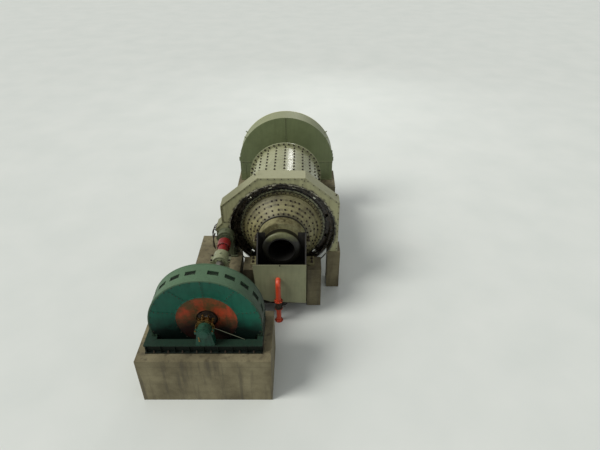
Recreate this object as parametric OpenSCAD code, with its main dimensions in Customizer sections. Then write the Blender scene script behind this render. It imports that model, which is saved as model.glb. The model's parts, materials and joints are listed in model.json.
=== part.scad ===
// Grinding ball mill with girth gear drive, low-speed motor, scoop feeder and its concrete piers.
// Millimetres, +Z up, mill axis along Y. The discharge end faces -Y and the feed end +Y.
// The origin lies on the ground below the mill axis, at the middle of the discharge bearing.

/* [Mill drum] */
// Inside diameter of the drum shell
drum_d = 3200; // [2900:50:3250]
// Length of the drum shell between its end faces
drum_len = 4620; // [3600:10:6000]
// Thickness of the shell plate
shell_t = 40; // [25:1:45]
// Height of the shell's end flanges above the plate
flange_h = 150; // [120:5:155]
// Thickness of each shell end flange
flange_t = 60; // [40:5:80]
// Height of the mill axis above the ground
axis_z = 3000; // [2900:10:3600]

/* [Heads and trunnions] */
// How far the head's rim stays inside the shell flange
rim_inset = 85; // [40:5:100]
// Thickness of the head's rim
rim_t = 80; // [60:5:120]
// Length of the head's straight shoulder
shoulder_len = 90; // [60:5:120]
// Length of the head's cone along the axis
cone_len = 570; // [450:10:700]
// Diameter of the cone where it meets the trunnion
hub_d = 1960; // [1700:20:2000]
// Wall thickness of the cast heads
head_wall = 90; // [60:5:110]
// Diameter of the trunnion journals
journal_d = 1500; // [1300:10:1560]
// Bore through the trunnions
trunnion_bore = 1040; // [800:10:1100]
// Outside diameter of the discharge bell
bell_d = 1540; // [1400:10:1600]
// Length of the discharge bell
bell_len = 385; // [340:5:420]
// Diameter of the bell's flat lip round its mouth
bell_lip = 1080; // [1060:10:1200]
// Diameter of the bell's neck
bell_neck_d = 1240; // [1160:10:1300]
// Length of the rounding from the bell's rim to its lip
bell_round = 90; // [60:5:120]
// Length over which the neck flares out to the rim
bell_flare = 90; // [60:5:110]

/* [Main bearings] */
// Length of each main bearing along the axis
bearing_len = 450; // [350:10:500]
// Gap between the head's hub and the bearing
bearing_gap = 100; // [80:5:140]
// Outside diameter of the bearing cap
cap_d = 1960; // [1800:20:2100]
// Width of the bolted ears beside the cap
ear_w = 170; // [120:10:220]
// Thickness of each bolted ear
ear_t = 90; // [60:5:120]
// Width of the bearing's sole across the mill
sole_w = 2640; // [2500:20:2900]
// Thickness of the bearing's sole
sole_t = 70; // [40:5:75]

/* [Girth gear and pinion] */
// Tooth module
tooth_module = 22; // [20:1:22]
// Teeth on the girth gear
gear_teeth = 192; // [190:2:200]
// Teeth on the pinion
pinion_teeth = 22; // [20:1:24]
// Face width of the girth gear
gear_w = 400; // [300:10:420]
// Face width of the pinion
pinion_w = 430; // [400:10:450]
// Thickness of the girth gear's rim below its teeth
gear_rim_t = 85; // [60:5:100]
// Thickness of the girth gear's web
gear_web_t = 60; // [40:5:80]
// Diameter of the holes in the gear's web
web_hole_d = 170; // [120:10:200]
// Distance from the drum's end face in to the middle of the gear
gear_setback = 35; // [20:5:60]
// Height of the mill axis above the pinion axis
pinion_drop = 150; // [100:5:200]

/* [Gear guard] */
// Thickness of the guard's plates
guard_t = 10; // [6:1:16]
// Inside width of the guard along the axis
guard_w = 640; // [600:10:680]
// Clearance between the gear's teeth and the guard's front opening
guard_gap = 16; // [12:1:20]
// How far the guard stands further out than the gear's middle
guard_shift = 55; // [40:5:70]
// Diameter of the guard's back opening
guard_back_d = 3660; // [3640:5:3700]
// Height of the guard's top above the mill axis
guard_rise = 2470; // [2440:10:2600]
// Width of the guard's flat top
guard_top_w = 1880; // [1600:20:2000]
// Reach of the guard's right side from the mill axis
guard_right = 2330; // [2300:10:2500]
// Height of the right shoulder above the mill axis
right_shoulder = 1330; // [1250:10:1400]
// Reach of the guard's left side from the mill axis
guard_left = 2500; // [2450:10:2600]
// Height of the left shoulder above the mill axis
left_shoulder = 1200; // [1150:10:1300]
// Height of the pinion cover's top above the mill axis
pinion_cover_h = 400; // [300:10:500]
// How far the pinion cover stands out past the guard's left side
pinion_cover_w = 260; // [200:10:320]

/* [Drive line] */
// Diameter of the pinion shaft
pinion_shaft_d = 240; // [200:10:280]
// Outside diameter of the pinion bearing housings
pinion_housing_d = 680; // [560:10:720]
// Length of the pinion's bearing on the coupling side
pinion_bearing_len = 350; // [250:10:380]
// Length of the pinion's bearing on the far side
back_bearing_len = 310; // [220:10:360]
// Gap between the gear guard and the pinion bearings
guard_to_bearing = 40; // [20:5:60]
// Free shaft between pinion bearing and coupling
coupling_stand_off = 180; // [100:10:240]
// Diameter of the coupling half on the pinion shaft
coupling_back_d = 520; // [440:10:600]
// Length of the coupling half on the pinion shaft
coupling_back_len = 430; // [300:10:500]
// Diameter of the coupling half on the line shaft
coupling_front_d = 400; // [360:10:460]
// Length of the coupling half on the line shaft
coupling_front_len = 390; // [280:10:450]
// Diameter of the line shaft
line_shaft_d = 300; // [240:10:320]
// Outside diameter of the line shaft's bearing
line_bearing_d = 580; // [500:10:640]
// Length of the line shaft's bearing
line_bearing_len = 530; // [400:10:600]
// Gap between the coupling and the line shaft's bearing
line_bearing_gap = 80; // [60:5:120]
// Width of the feet under the drive line's bearings
foot_w = 880; // [800:20:960]
// Thickness of those feet
foot_t = 70; // [40:5:90]

/* [Motor] */
// Outside diameter of the motor's stator frame
motor_d = 3730; // [3600:10:3800]
// Width of the stator frame along the axis
motor_w = 865; // [800:5:950]
// Distance from the middle of the pinion to the middle of the motor
motor_y = 5192; // [5100:10:5600]
// Air gap between rotor and stator
air_gap = 8; // [6:1:12]
// Thickness of the stator's core ring
core_t = 190; // [150:5:190]
// Width of the stator's core along the axis
core_w = 425; // [380:5:430]
// Thickness of the stator frame's wrapper plate
wrapper_t = 40; // [20:1:45]
// Space between the stator's core and its wrapper plate
core_to_wrapper = 127; // [100:1:160]
// Width of the band that carries the core inside the frame
belly_w = 745; // [700:5:760]
// Thickness of that band
belly_t = 30; // [20:1:40]
// Number of ventilation windows on each side of the frame
window_count = 6; // [3:1:6]
// Angle between neighbouring windows
window_pitch = 17; // [15:0.5:18]
// Angle between the two windows beside the joint at the top
window_joint = 22; // [17:1:26]
// Length of a window round the frame
window_len = 350; // [250:10:400]
// Width of a window along the axis
window_w = 200; // [150:10:240]
// Thickness of the end shields and air guides
shield_t = 12; // [8:1:16]
// Diameter where the end shield meets the air guide
guide_d = 2040; // [1900:20:2100]
// Diameter of the hole in the air guide
guide_hole_d = 740; // [680:10:760]
// Depth of the end shield's dish
shield_dish = 185; // [150:5:190]
// Further depth of the air guide's cone
guide_depth = 130; // [100:5:135]
// Diameter of the rotor's hub
hub_rotor_d = 600; // [500:10:620]
// Diameter of the slip rings
slip_ring_d = 400; // [360:10:410]

/* [Motor base] */
// Height of the motor's base frame
base_h = 380; // [300:10:400]
// Width of the base frame's front beam
front_beam_w = 290; // [240:10:320]
// Width of the base frame's back beam
back_beam_w = 300; // [240:10:340]
// How far the base frame reaches past the stator on the left
base_over = 166; // [100:1:280]
// How far the base frame stops short of the stator on the right
base_short = 16; // [0:1:24]
// Gap between the stator and the front beam
front_beam_gap = 115; // [60:5:150]
// Gap between the stator and the back beam
back_beam_gap = 135; // [100:5:200]
// Thickness of the stator's feet
stator_foot_t = 80; // [60:5:100]
// Width of the pedestals at their foot
pedestal_w = 620; // [560:10:680]
// Thickness of the pedestals along the axis
pedestal_t = 280; // [220:5:285]
// Diameter of the bearing heads on the pedestals
pedestal_head_d = 460; // [400:10:500]

/* [Discharge box] */
// Outside width of the discharge box
box_w = 1950; // [1880:10:2000]
// Depth of the discharge box along the mill axis
box_depth = 940; // [800:10:1100]
// Thickness of the discharge box's plates
box_t = 12; // [8:1:16]
// Height of the box's back plate above the mill axis
box_back_h = 610; // [560:10:700]
// How far the box's front edge lies below the mill axis
box_front_drop = 280; // [240:10:300]
// Height of the box's floor at its front above the ground
box_floor_front = 743; // [650:10:800]
// Fall of the box's floor towards the mill
box_floor_fall = 250; // [150:10:300]
// Diameter of the box's outlet
outlet_d = 400; // [300:10:500]
// Diameter of the flush water pipe
water_pipe_d = 200; // [160:5:220]
// Distance of the flush water pipe to the left of the mill axis
water_pipe_left = 140; // [100:10:200]
// Depth of the flush water pipe below the mill axis
water_pipe_drop = 1000; // [950:10:1050]
// Length of the pipe's riser below its elbow
water_riser = 800; // [600:10:900]
// How far the front plate reaches past the box on the left
plate_over = 150; // [100:10:240]

/* [Feed end] */
// Outside radius of the scoop hood
hood_r = 2450; // [2400:10:2500]
// Width of the scoop hood along the axis
hood_w = 1000; // [900:10:1000]
// Gap between the feed bearing and the hood
hood_gap = 250; // [200:10:300]
// Thickness of the hood's plates
hood_t = 12; // [8:1:16]
// Diameter of the hood's opening round the feeder's neck
hood_hole_d = 1680; // [1400:20:1700]
// Reach of the feeder's scoop from the mill axis
scoop_r = 2250; // [2100:10:2280]
// Diameter of the feeder's drum
feeder_d = 2300; // [2000:20:2400]
// Width of the feeder's drum
feeder_w = 600; // [500:10:620]
// Thickness of the feeder's plates
feeder_t = 25; // [16:1:30]
// Gap between the hood's front and the feeder's drum
feeder_gap = 110; // [80:10:140]
// Outside diameter of the feed spout
spout_d = 650; // [560:10:680]
// Length of the feed spout outside the hood
spout_out = 300; // [200:10:400]

/* [Foundations] */
// Height of the piers' tops above the ground
pier_h = 1940; // [1900:10:1945]
// Width of the discharge pier across the mill
discharge_pier_w = 3200; // [3000:20:3300]
// Width of the feed pier across the mill
feed_pier_w = 5200; // [5100:20:5400]
// How far the concrete reaches past the sides of the motor's base frame
motor_block_margin = 280; // [200:10:400]
// How far it reaches in front of the base frame
motor_block_front = 340; // [200:10:400]
// How far it reaches behind the base frame
motor_block_back = 300; // [200:10:400]
// Depth of the pit below the stator
motor_pit_depth = 240; // [150:10:400]
// Width of the concrete under the drive line
drive_block_w = 1880; // [1760:10:2000]
// Reach of that concrete to the left of the shaft
drive_block_left = 1250; // [1200:10:1320]
// How far the concrete reaches past the gear guard's plates
guard_margin = 70; // [40:10:100]
// How far the feed pier reaches past the scoop hood
hood_margin = 100; // [60:10:200]
// Width of the wall under the gear guard's right side
guard_wall_w = 550; // [500:10:600]

/* [Clearances] */
// Radial gap of every running fit
running_gap = 0.3; // [0.1:0.1:0.5]
// Clearance of the gear's teeth from the concrete beside them
tooth_clear = 48; // [30:1:60]
// Gap between the teeth of gear and pinion, on each flank
backlash = 0.8; // [0.5:0.1:1]

/* [Hidden] */
$fn = 96;

// Paint and material colours
cream = [0.72, 0.70, 0.60];
hood_green = [0.52, 0.56, 0.47];
grease = [0.13, 0.12, 0.11];
concrete = [0.53, 0.50, 0.44];
sea_green = [0.55, 0.70, 0.60];
dark_teal = [0.09, 0.36, 0.32];
warm_red = [0.78, 0.30, 0.20];
crimson = [0.72, 0.12, 0.16];
steel = [0.60, 0.60, 0.58];
black_steel = [0.10, 0.09, 0.08];
gold = [0.70, 0.60, 0.35];

// Lengths along the axis, measured from the middle of the drum towards either end
half_len = drum_len / 2;
hub_y = half_len + rim_t + shoulder_len + cone_len;
bearing_in = hub_y + bearing_gap;
bearing_out = bearing_in + bearing_len;
bearing_mid = (bearing_in + bearing_out) / 2;
journal_over = 40;
journal_end = bearing_out + journal_over;
pier_edge = 60;
pier_in = hub_y + 10;

// Radii of the drum and its heads
shell_r = drum_d / 2 + shell_t;
flange_r = shell_r + flange_h;
rim_r = flange_r - rim_inset;
shoulder_r = drum_d / 2;
hub_r = hub_d / 2;
journal_r = journal_d / 2;
bore_r = trunnion_bore / 2;
bell_r = bell_d / 2;
bell_neck_r = bell_neck_d / 2;

// Gear and pinion
pitch_r = tooth_module * gear_teeth / 2;
pinion_pitch_r = tooth_module * pinion_teeth / 2;
gear_tip_r = pitch_r + tooth_module;
pinion_tip_r = pinion_pitch_r + tooth_module;
centre_distance = pitch_r + pinion_pitch_r;
pressure_angle = 20;
gear_y = -(half_len - gear_setback);
drive_x = -sqrt(pow(centre_distance, 2) - pow(pinion_drop, 2));
drive_z = axis_z - pinion_drop;
mesh_angle = atan2(-pinion_drop, drive_x);
gear_root_r = pitch_r - 1.25 * tooth_module;

// Gear guard
guard_front_y = gear_y - guard_w / 2 - guard_shift;
guard_back_y = guard_front_y + guard_w;
guard_top = axis_z + guard_rise;
concrete_x = gear_tip_side(pier_h) + tooth_clear;
shaft_hole_r = pinion_shaft_d / 2 + 25;

// Drive line, from the pinion bearings out to the motor
pinion_bearing_back = guard_front_y - guard_t - guard_to_bearing;
pinion_bearing_front = pinion_bearing_back - pinion_bearing_len;
coupling_back_y = pinion_bearing_front - coupling_stand_off;
coupling_mid_y = coupling_back_y - coupling_back_len;
coupling_front_y = coupling_mid_y - coupling_front_len;
line_bearing_back = coupling_front_y - line_bearing_gap;
line_bearing_front = line_bearing_back - line_bearing_len;
back_bearing_y = guard_back_y + guard_t + guard_to_bearing;
shaft_end_gap = 5;

// Motor
motor_mid = gear_y - motor_y;
motor_front = motor_mid - motor_w / 2;
motor_back = motor_mid + motor_w / 2;
motor_r = motor_d / 2;
core_r = motor_r - wrapper_t - core_to_wrapper;
stator_bore_r = core_r - core_t;
rotor_r = stator_bore_r - air_gap;
belly_r = core_r + running_gap + belly_t;
line_shaft_r = line_shaft_d / 2;
base_top = pier_h + base_h;
base_left = motor_r + base_over;
base_right = motor_r - base_short;
front_beam_back = motor_front - front_beam_gap;
front_beam_front = front_beam_back - front_beam_w;
back_beam_front = motor_back + back_beam_gap;
back_beam_back = back_beam_front + back_beam_w;
foot_in = sqrt(pow(belly_r, 2) - pow(drive_z - base_top, 2));
foot_clear = foot_in + 20;
pedestal_y = front_beam_front + 5;
yoke_y = pedestal_y + pedestal_t;
yoke_t = 25;
shield_y = motor_front + 15;

// Feed end
hood_y = bearing_out + hood_gap;
hood_back_y = hood_y + hood_w;
hood_in = hood_r - hood_t;
feeder_y = hood_y + feeder_gap;
feeder_end = feeder_y + feeder_w;
feeder_r = feeder_d / 2;
neck_r = bore_r + 120;
spout_r = spout_d / 2;

// Discharge end
box_back_y = -bearing_out - pier_edge;
plate_y = box_back_y - box_depth;
outlet_y = box_back_y - box_depth / 2;
box_lip_z = axis_z - box_front_drop;
water_wall = 20;

// Places every piece: the origin is below the middle of the discharge bearing.
module placed() {
    translate([0, bearing_mid, 0]) children();
}

// Extrudes an outline drawn in X and Z, from y0 to y1.
module slab(y0, y1) {
    translate([0, y1, 0]) rotate([90, 0, 0]) linear_extrude(y1 - y0) children();
}

// Turns an outline of [radius, y] points about the mill axis.
module turned(outline) {
    translate([0, 0, axis_z]) rotate([-90, 0, 0]) rotate_extrude() polygon(outline);
}

// Turns an outline of [radius, y] points about the drive axis.
module driven(outline) {
    translate([drive_x, 0, drive_z]) rotate([-90, 0, 0]) rotate_extrude() polygon(outline);
}

// A plain round bar or bore along Y about the drive axis.
module drive_bar(r, y0, y1) {
    translate([drive_x, y0, drive_z]) rotate([-90, 0, 0]) cylinder(r = r, h = y1 - y0);
}

// A plain round bar or bore along Y about the mill axis.
module mill_bar(r, y0, y1) {
    translate([0, y0, axis_z]) rotate([-90, 0, 0]) cylinder(r = r, h = y1 - y0);
}

// A box from its low corner to its high corner.
module block(low, high) {
    translate(low) cube(high - low);
}

// How far out the gear's teeth reach at height z.
function gear_tip_side(z) = sqrt(pow(gear_tip_r, 2) - pow(axis_z - z, 2));

// Involute tooth form
function involute(a) = tan(a) * 180 / PI - a;
function flank_angle(r, base_r) = acos(min(1, base_r / r));
function half_tooth(r, teeth, pitch, base_r) =
    90 / teeth - backlash / 2 / pitch * 180 / PI
    + involute(pressure_angle) - involute(flank_angle(r, base_r));
function polar(r, a) = [r * cos(a), r * sin(a)];
function tooth(teeth, pitch, radii, turn) = let (base_r = pitch * cos(pressure_angle)) concat(
    [for (i = [0:len(radii) - 1])
        polar(radii[i], turn - half_tooth(max(radii[i], base_r), teeth, pitch, base_r))],
    [for (i = [len(radii) - 1:-1:0])
        polar(radii[i], turn + half_tooth(max(radii[i], base_r), teeth, pitch, base_r))]);
function gear_outline(teeth, pitch, radii, turn) =
    [for (k = [0:teeth - 1]) each tooth(teeth, pitch, radii, turn + k * 360 / teeth)];

// The guard's outline, from the left foot over the top to the right foot
guard_points = [
    [-guard_left - pinion_cover_w, pier_h],
    [-guard_left - pinion_cover_w, axis_z + pinion_cover_h - pinion_cover_w],
    [-guard_left, axis_z + pinion_cover_h],
    [-guard_left, axis_z + left_shoulder],
    [-guard_top_w / 2, guard_top],
    [guard_top_w / 2, guard_top],
    [guard_right, axis_z + right_shoulder],
    [guard_right, pier_h]
];

// Moves corner i of the guard's outline inwards by t, along the bisector of its two sides.
function unit(v) = v / norm(v);
function side_normal(i) = let (d = unit(guard_points[i + 1] - guard_points[i])) [d[1], -d[0]];
function inset(i, t) =
    i == 0 ? guard_points[i] + t * side_normal(0)
    : i == len(guard_points) - 1 ? guard_points[i] + t * side_normal(i - 1)
    : let (n0 = side_normal(i - 1), n1 = side_normal(i))
        guard_points[i] + t * (n0 + n1) / (1 + n0 * n1);

module drive_foundation() {
    shaft_left = drive_x - drive_block_left;
    gear_side_y = guard_front_y - guard_margin;
    pit_half = foot_in - 100;
    pit_edge = 20;
    block_end = back_bearing_y + back_bearing_len + 150;
    color(concrete) placed() difference() {
        union() {
            block([drive_x - base_left - motor_block_margin, front_beam_front - motor_block_front, 0],
                  [drive_x + base_right + motor_block_margin, back_beam_back + motor_block_back, pier_h]);
            block([shaft_left, back_beam_back, 0], [shaft_left + drive_block_w, gear_side_y, pier_h]);
            block([shaft_left, gear_side_y - 1, 0], [-concrete_x, block_end, pier_h]);
        }
        block([drive_x - pit_half, front_beam_back + pit_edge, drive_z - belly_r - motor_pit_depth],
              [drive_x + pit_half, back_beam_front - pit_edge, pier_h + 1]);
    }
}

module discharge_pier() {
    wing_in = box_w / 2 + 50;
    wing_len = 270;
    pier_x = discharge_pier_w / 2;
    color(concrete) placed() union() {
        block([-pier_x, box_back_y, 0], [pier_x, -pier_in, pier_h]);
        for (side = [-1, 1])
            block([side > 0 ? wing_in : -pier_x, box_back_y - wing_len, 0],
                  [side > 0 ? pier_x : -wing_in, box_back_y + 1, pier_h]);
    }
}

module feed_pier() {
    slot_x = scoop_r + 80;
    slot_z = axis_z - scoop_r - 130;
    slot_edge = 30;
    color(concrete) placed() difference() {
        block([-feed_pier_w / 2, pier_in, 0], [feed_pier_w / 2, hood_back_y + hood_margin, pier_h]);
        block([-slot_x, hood_y + slot_edge, slot_z], [slot_x, hood_back_y - slot_edge, pier_h + 1]);
    }
}

module guard_wall() {
    color(concrete) placed()
        block([concrete_x, guard_front_y - guard_margin, 0],
              [concrete_x + guard_wall_w, guard_back_y + guard_margin, pier_h]);
}

// Lower half of a main bearing, drawn at the feed end.
module bearing_base() {
    sole_edge = 50;
    difference() {
        union() {
            block([-sole_w / 2, bearing_in - sole_edge, pier_h],
                  [sole_w / 2, bearing_out + pier_edge, pier_h + sole_t]);
            block([-cap_d / 2, bearing_in, pier_h + sole_t - 1], [cap_d / 2, bearing_out, axis_z]);
            bearing_ears(-ear_t);
        }
        mill_bar(journal_r + running_gap, bearing_in - sole_edge - 1, bearing_out + pier_edge + 1);
    }
}

// The pair of bolted ears beside the journal, above or below the joint at the mill axis
module bearing_ears(rise) {
    edge = 30;
    block([-cap_d / 2 - ear_w, bearing_in + edge, axis_z + min(0, rise)],
          [cap_d / 2 + ear_w, bearing_out - edge, axis_z + max(0, rise)]);
}

// Upper half of a main bearing, drawn at the feed end.
module bearing_cap() {
    difference() {
        union() {
            mill_bar(cap_d / 2, bearing_in, bearing_out);
            bearing_ears(ear_t);
        }
        mill_bar(journal_r + running_gap, bearing_in - 1, bearing_out + 1);
        block([-cap_d, bearing_in - 1, axis_z - cap_d], [cap_d, bearing_out + 1, axis_z]);
    }
}

module discharge_bearing_base() {
    color(cream) placed() mirror([0, 1, 0]) bearing_base();
}

module feed_bearing_base() {
    color(cream) placed() bearing_base();
}

module discharge_bearing_cap() {
    color(cream) placed() mirror([0, 1, 0]) bearing_cap();
}

module feed_bearing_cap() {
    color(cream) placed() bearing_cap();
}

module shell() {
    color(cream) placed() turned([
        [drum_d / 2, -half_len], [flange_r, -half_len], [flange_r, flange_t - half_len],
        [shell_r, flange_t - half_len], [shell_r, half_len - flange_t],
        [flange_r, half_len - flange_t], [flange_r, half_len], [drum_d / 2, half_len]
    ]);
}

// Conical cast head with its trunnion, drawn at the feed end.
module head() {
    slant = norm([shoulder_r - hub_r, cone_len]);
    in_r = head_wall * cone_len / slant;
    in_y = head_wall * (shoulder_r - hub_r) / slant;
    shoulder_y = half_len + rim_t + shoulder_len;
    fillet = 50;
    turned([
        [shoulder_r - in_r, half_len], [rim_r, half_len], [rim_r, half_len + rim_t],
        [shoulder_r, half_len + rim_t], [shoulder_r, shoulder_y], [hub_r, hub_y],
        [journal_r + fillet, hub_y + fillet / 2], [journal_r, hub_y + fillet], [journal_r, journal_end],
        [bore_r, journal_end], [bore_r, hub_y - in_y], [hub_r - in_r, hub_y - in_y],
        [shoulder_r - in_r, shoulder_y - in_y]
    ]);
}

module discharge_head() {
    color(cream) placed() mirror([0, 1, 0]) head();
}

module feed_head() {
    color(cream) placed() head();
}

// Cast bell on the end of the discharge trunnion: a neck that flares to a rounded lip
module discharge_bell() {
    steps = 8;
    rim_w = 15;
    lip_r = bell_lip / 2;
    round_y = journal_end + bell_len - bell_round;
    color(cream) placed() mirror([0, 1, 0]) turned(concat(
        [[bore_r, journal_end], [bell_neck_r, journal_end], [bell_neck_r, round_y - rim_w - bell_flare],
         [bell_r, round_y - rim_w]],
        [for (i = [0:steps]) let (a = 90 * i / steps)
            [lip_r + (bell_r - lip_r) * cos(a), round_y + bell_round * sin(a)]],
        [[bore_r, journal_end + bell_len]]));
}

module girth_gear() {
    rim_in = gear_root_r - gear_rim_t;
    web_y = flange_t - half_len;
    web_in = shell_r + 5;
    web_out = rim_in + 20;
    web_holes = 12;
    hole_ring = (rim_in + flange_r) / 2;
    color(grease) placed() difference() {
        union() {
            slab(gear_y - gear_w / 2, gear_y + gear_w / 2) translate([0, axis_z]) difference() {
                polygon(gear_outline(gear_teeth, pitch_r, [gear_root_r, gear_tip_r],
                                     mesh_angle + 180 / gear_teeth));
                circle(rim_in);
            }
            translate([0, 0, axis_z]) rotate([-90, 0, 0]) rotate_extrude() polygon([
                [web_in, web_y], [web_out, web_y], [web_out, web_y + gear_web_t], [web_in, web_y + gear_web_t]
            ]);
        }
        for (k = [0:web_holes - 1]) rotate_about_mill((k + 0.5) * 360 / web_holes)
            translate([hole_ring, web_y - 1, 0]) rotate([-90, 0, 0])
                cylinder(d = web_hole_d, h = gear_web_t + 2);
    }
}

// Turns what it holds about the mill axis, with the first copy pointing along +X.
module rotate_about_mill(a) {
    translate([0, 0, axis_z]) rotate([0, -a, 0]) children();
}

// Feeder's neck and open drum, turning with the mill
module feeder_drum() {
    color(cream) placed() turned([
        [bore_r, journal_end], [neck_r, journal_end], [neck_r, feeder_y], [feeder_r, feeder_y],
        [feeder_r, feeder_end - feeder_t], [feeder_r - feeder_t, feeder_end - feeder_t],
        [feeder_r - feeder_t, feeder_y + feeder_t], [bore_r, feeder_y + feeder_t]
    ]);
}

// Ring plate that closes the feeder's drum round the spout
module feeder_end_plate() {
    spout_gap = 40;
    color(cream) placed() turned([
        [spout_r + spout_gap, feeder_end - feeder_t], [feeder_r, feeder_end - feeder_t],
        [feeder_r, feeder_end], [spout_r + spout_gap, feeder_end]
    ]);
}

// Two spiral scoops on the feeder's drum, opposite each other
module feeder_scoops() {
    steps = 24;
    sweep = 150;
    scoop_side = 90;
    scoop_t = feeder_t + 15;
    spiral = [for (i = [0:steps])
        [feeder_r + scoop_t + (scoop_r - feeder_r - scoop_t) * i / steps, sweep * (i / steps - 1)]];
    color(cream) placed()
        for (turn = [0, 180])
            slab(feeder_y + scoop_side, feeder_end - scoop_side) translate([0, axis_z]) difference() {
                polygon(concat(
                    [for (p = spiral) polar(p[0], p[1] + turn)],
                    [for (i = [steps:-1:0]) polar(spiral[i][0] - scoop_t - 1, spiral[i][1] + turn)]));
                circle(feeder_r + running_gap);
            }
}

module guard_outline() {
    polygon(guard_points);
}

module guard_front() {
    color(cream) placed() difference() {
        slab(guard_front_y - guard_t, guard_front_y) guard_outline();
        mill_bar(gear_tip_r + guard_gap, guard_front_y - guard_t - 1, guard_front_y + 1);
        drive_bar(shaft_hole_r, guard_front_y - guard_t - 1, guard_front_y + 1);
    }
}

module guard_back() {
    color(cream) placed() difference() {
        slab(guard_back_y, guard_back_y + guard_t) guard_outline();
        mill_bar(guard_back_d / 2, guard_back_y - 1, guard_back_y + guard_t + 1);
        drive_bar(shaft_hole_r, guard_back_y - 1, guard_back_y + guard_t + 1);
    }
}

// One bent strip of the guard's rim, over the sides first to last of its outline
module guard_strip(first, last) {
    slab(guard_front_y, guard_back_y) polygon(concat(
        [for (i = [first:last + 1]) guard_points[i]],
        [for (i = [last + 1:-1:first]) inset(i, guard_t)]));
}

module guard_left_side() {
    color(cream) placed() guard_strip(0, 2);
}

module guard_roof() {
    color(cream) placed() guard_strip(3, 5);
}

module guard_right_side() {
    color(cream) placed() guard_strip(6, 6);
}

module pinion() {
    root_r = pinion_pitch_r - 1.25 * tooth_module;
    base_r = pinion_pitch_r * cos(pressure_angle);
    color(grease) placed() slab(gear_y - pinion_w / 2, gear_y + pinion_w / 2)
        translate([drive_x, drive_z]) difference() {
            polygon(gear_outline(pinion_teeth, pinion_pitch_r,
                                 [root_r, base_r, (base_r + pinion_tip_r) / 2, pinion_tip_r],
                                 mesh_angle + 180));
            circle(pinion_shaft_d / 2 + running_gap);
        }
}

module pinion_shaft() {
    end_over = 60;
    color(steel) placed()
        drive_bar(pinion_shaft_d / 2, coupling_mid_y + shaft_end_gap,
                  back_bearing_y + back_bearing_len + end_over);
}

// Bearing block on its feet, with a round housing split at the shaft's level
module plummer_block(y0, y1, housing_d, bore) {
    stand = housing_d / 2 - 30;
    stand_edge = 20;
    foot_edge = 20;
    ear = foot_w / 2 - 60;
    ear_edge = 50;
    ear_half_t = 45;
    difference() {
        union() {
            drive_bar(housing_d / 2, y0, y1);
            block([drive_x - stand, y0 + stand_edge, pier_h + foot_t - 1],
                  [drive_x + stand, y1 - stand_edge, drive_z]);
            block([drive_x - foot_w / 2, y0 - foot_edge, pier_h],
                  [drive_x + foot_w / 2, y1 + foot_edge, pier_h + foot_t]);
            block([drive_x - ear, y0 + ear_edge, drive_z - ear_half_t],
                  [drive_x + ear, y1 - ear_edge, drive_z + ear_half_t]);
        }
        drive_bar(bore, y0 - 1, y1 + 1);
    }
}

module pinion_front_bearing() {
    color(hood_green) placed()
        plummer_block(pinion_bearing_front, pinion_bearing_back, pinion_housing_d,
                      pinion_shaft_d / 2 + running_gap);
}

module pinion_back_bearing() {
    color(hood_green) placed()
        plummer_block(back_bearing_y, back_bearing_y + back_bearing_len, pinion_housing_d,
                      pinion_shaft_d / 2 + running_gap);
}

module line_shaft_bearing() {
    color(cream) placed()
        plummer_block(line_bearing_front, line_bearing_back, line_bearing_d, line_shaft_r + running_gap);
}

module coupling_pinion_half() {
    bore = pinion_shaft_d / 2 + running_gap;
    edge = 25;
    color(crimson) placed() driven([
        [bore, coupling_mid_y], [coupling_back_d / 2 - edge, coupling_mid_y],
        [coupling_back_d / 2, coupling_mid_y + edge], [coupling_back_d / 2, coupling_back_y - 3 * edge],
        [coupling_back_d / 2 - 2 * edge, coupling_back_y], [bore, coupling_back_y]
    ]);
}

module coupling_shaft_half() {
    bore = line_shaft_r + running_gap;
    edge = 20;
    color(crimson) placed() driven([
        [bore, coupling_front_y], [coupling_front_d / 2 - edge, coupling_front_y],
        [coupling_front_d / 2, coupling_front_y + edge], [coupling_front_d / 2, coupling_mid_y],
        [bore, coupling_mid_y]
    ]);
}

module line_shaft() {
    end_over = 60;
    color(steel) placed()
        drive_bar(line_shaft_r, front_beam_front - end_over, coupling_mid_y - shaft_end_gap);
}

module motor_base_frame() {
    flange = 40;
    left = drive_x - base_left;
    right = drive_x + base_right;
    color(dark_teal) placed() difference() {
        union() {
            block([left, front_beam_front, pier_h], [right, front_beam_back, base_top]);
            block([left, back_beam_front, pier_h], [right, back_beam_back, base_top]);
            block([left, front_beam_back - 1, pier_h],
                  [drive_x - foot_clear, back_beam_front + 1, base_top]);
            block([drive_x + foot_clear, front_beam_back - 1, pier_h],
                  [right, back_beam_front + 1, base_top]);
        }
        block([left - 1, front_beam_front - 1, pier_h + flange],
              [right + 1, front_beam_front + front_beam_w / 4, base_top - flange]);
        block([left - 1, back_beam_back - back_beam_w / 4, pier_h + flange],
              [right + 1, back_beam_back + 1, base_top - flange]);
    }
}

// The space round the stator above height low
module above(low) {
    block([drive_x - motor_r - 1, motor_front - 1, low],
          [drive_x + motor_r + 1, motor_back + 1, drive_z + motor_r + 1]);
}

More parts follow.
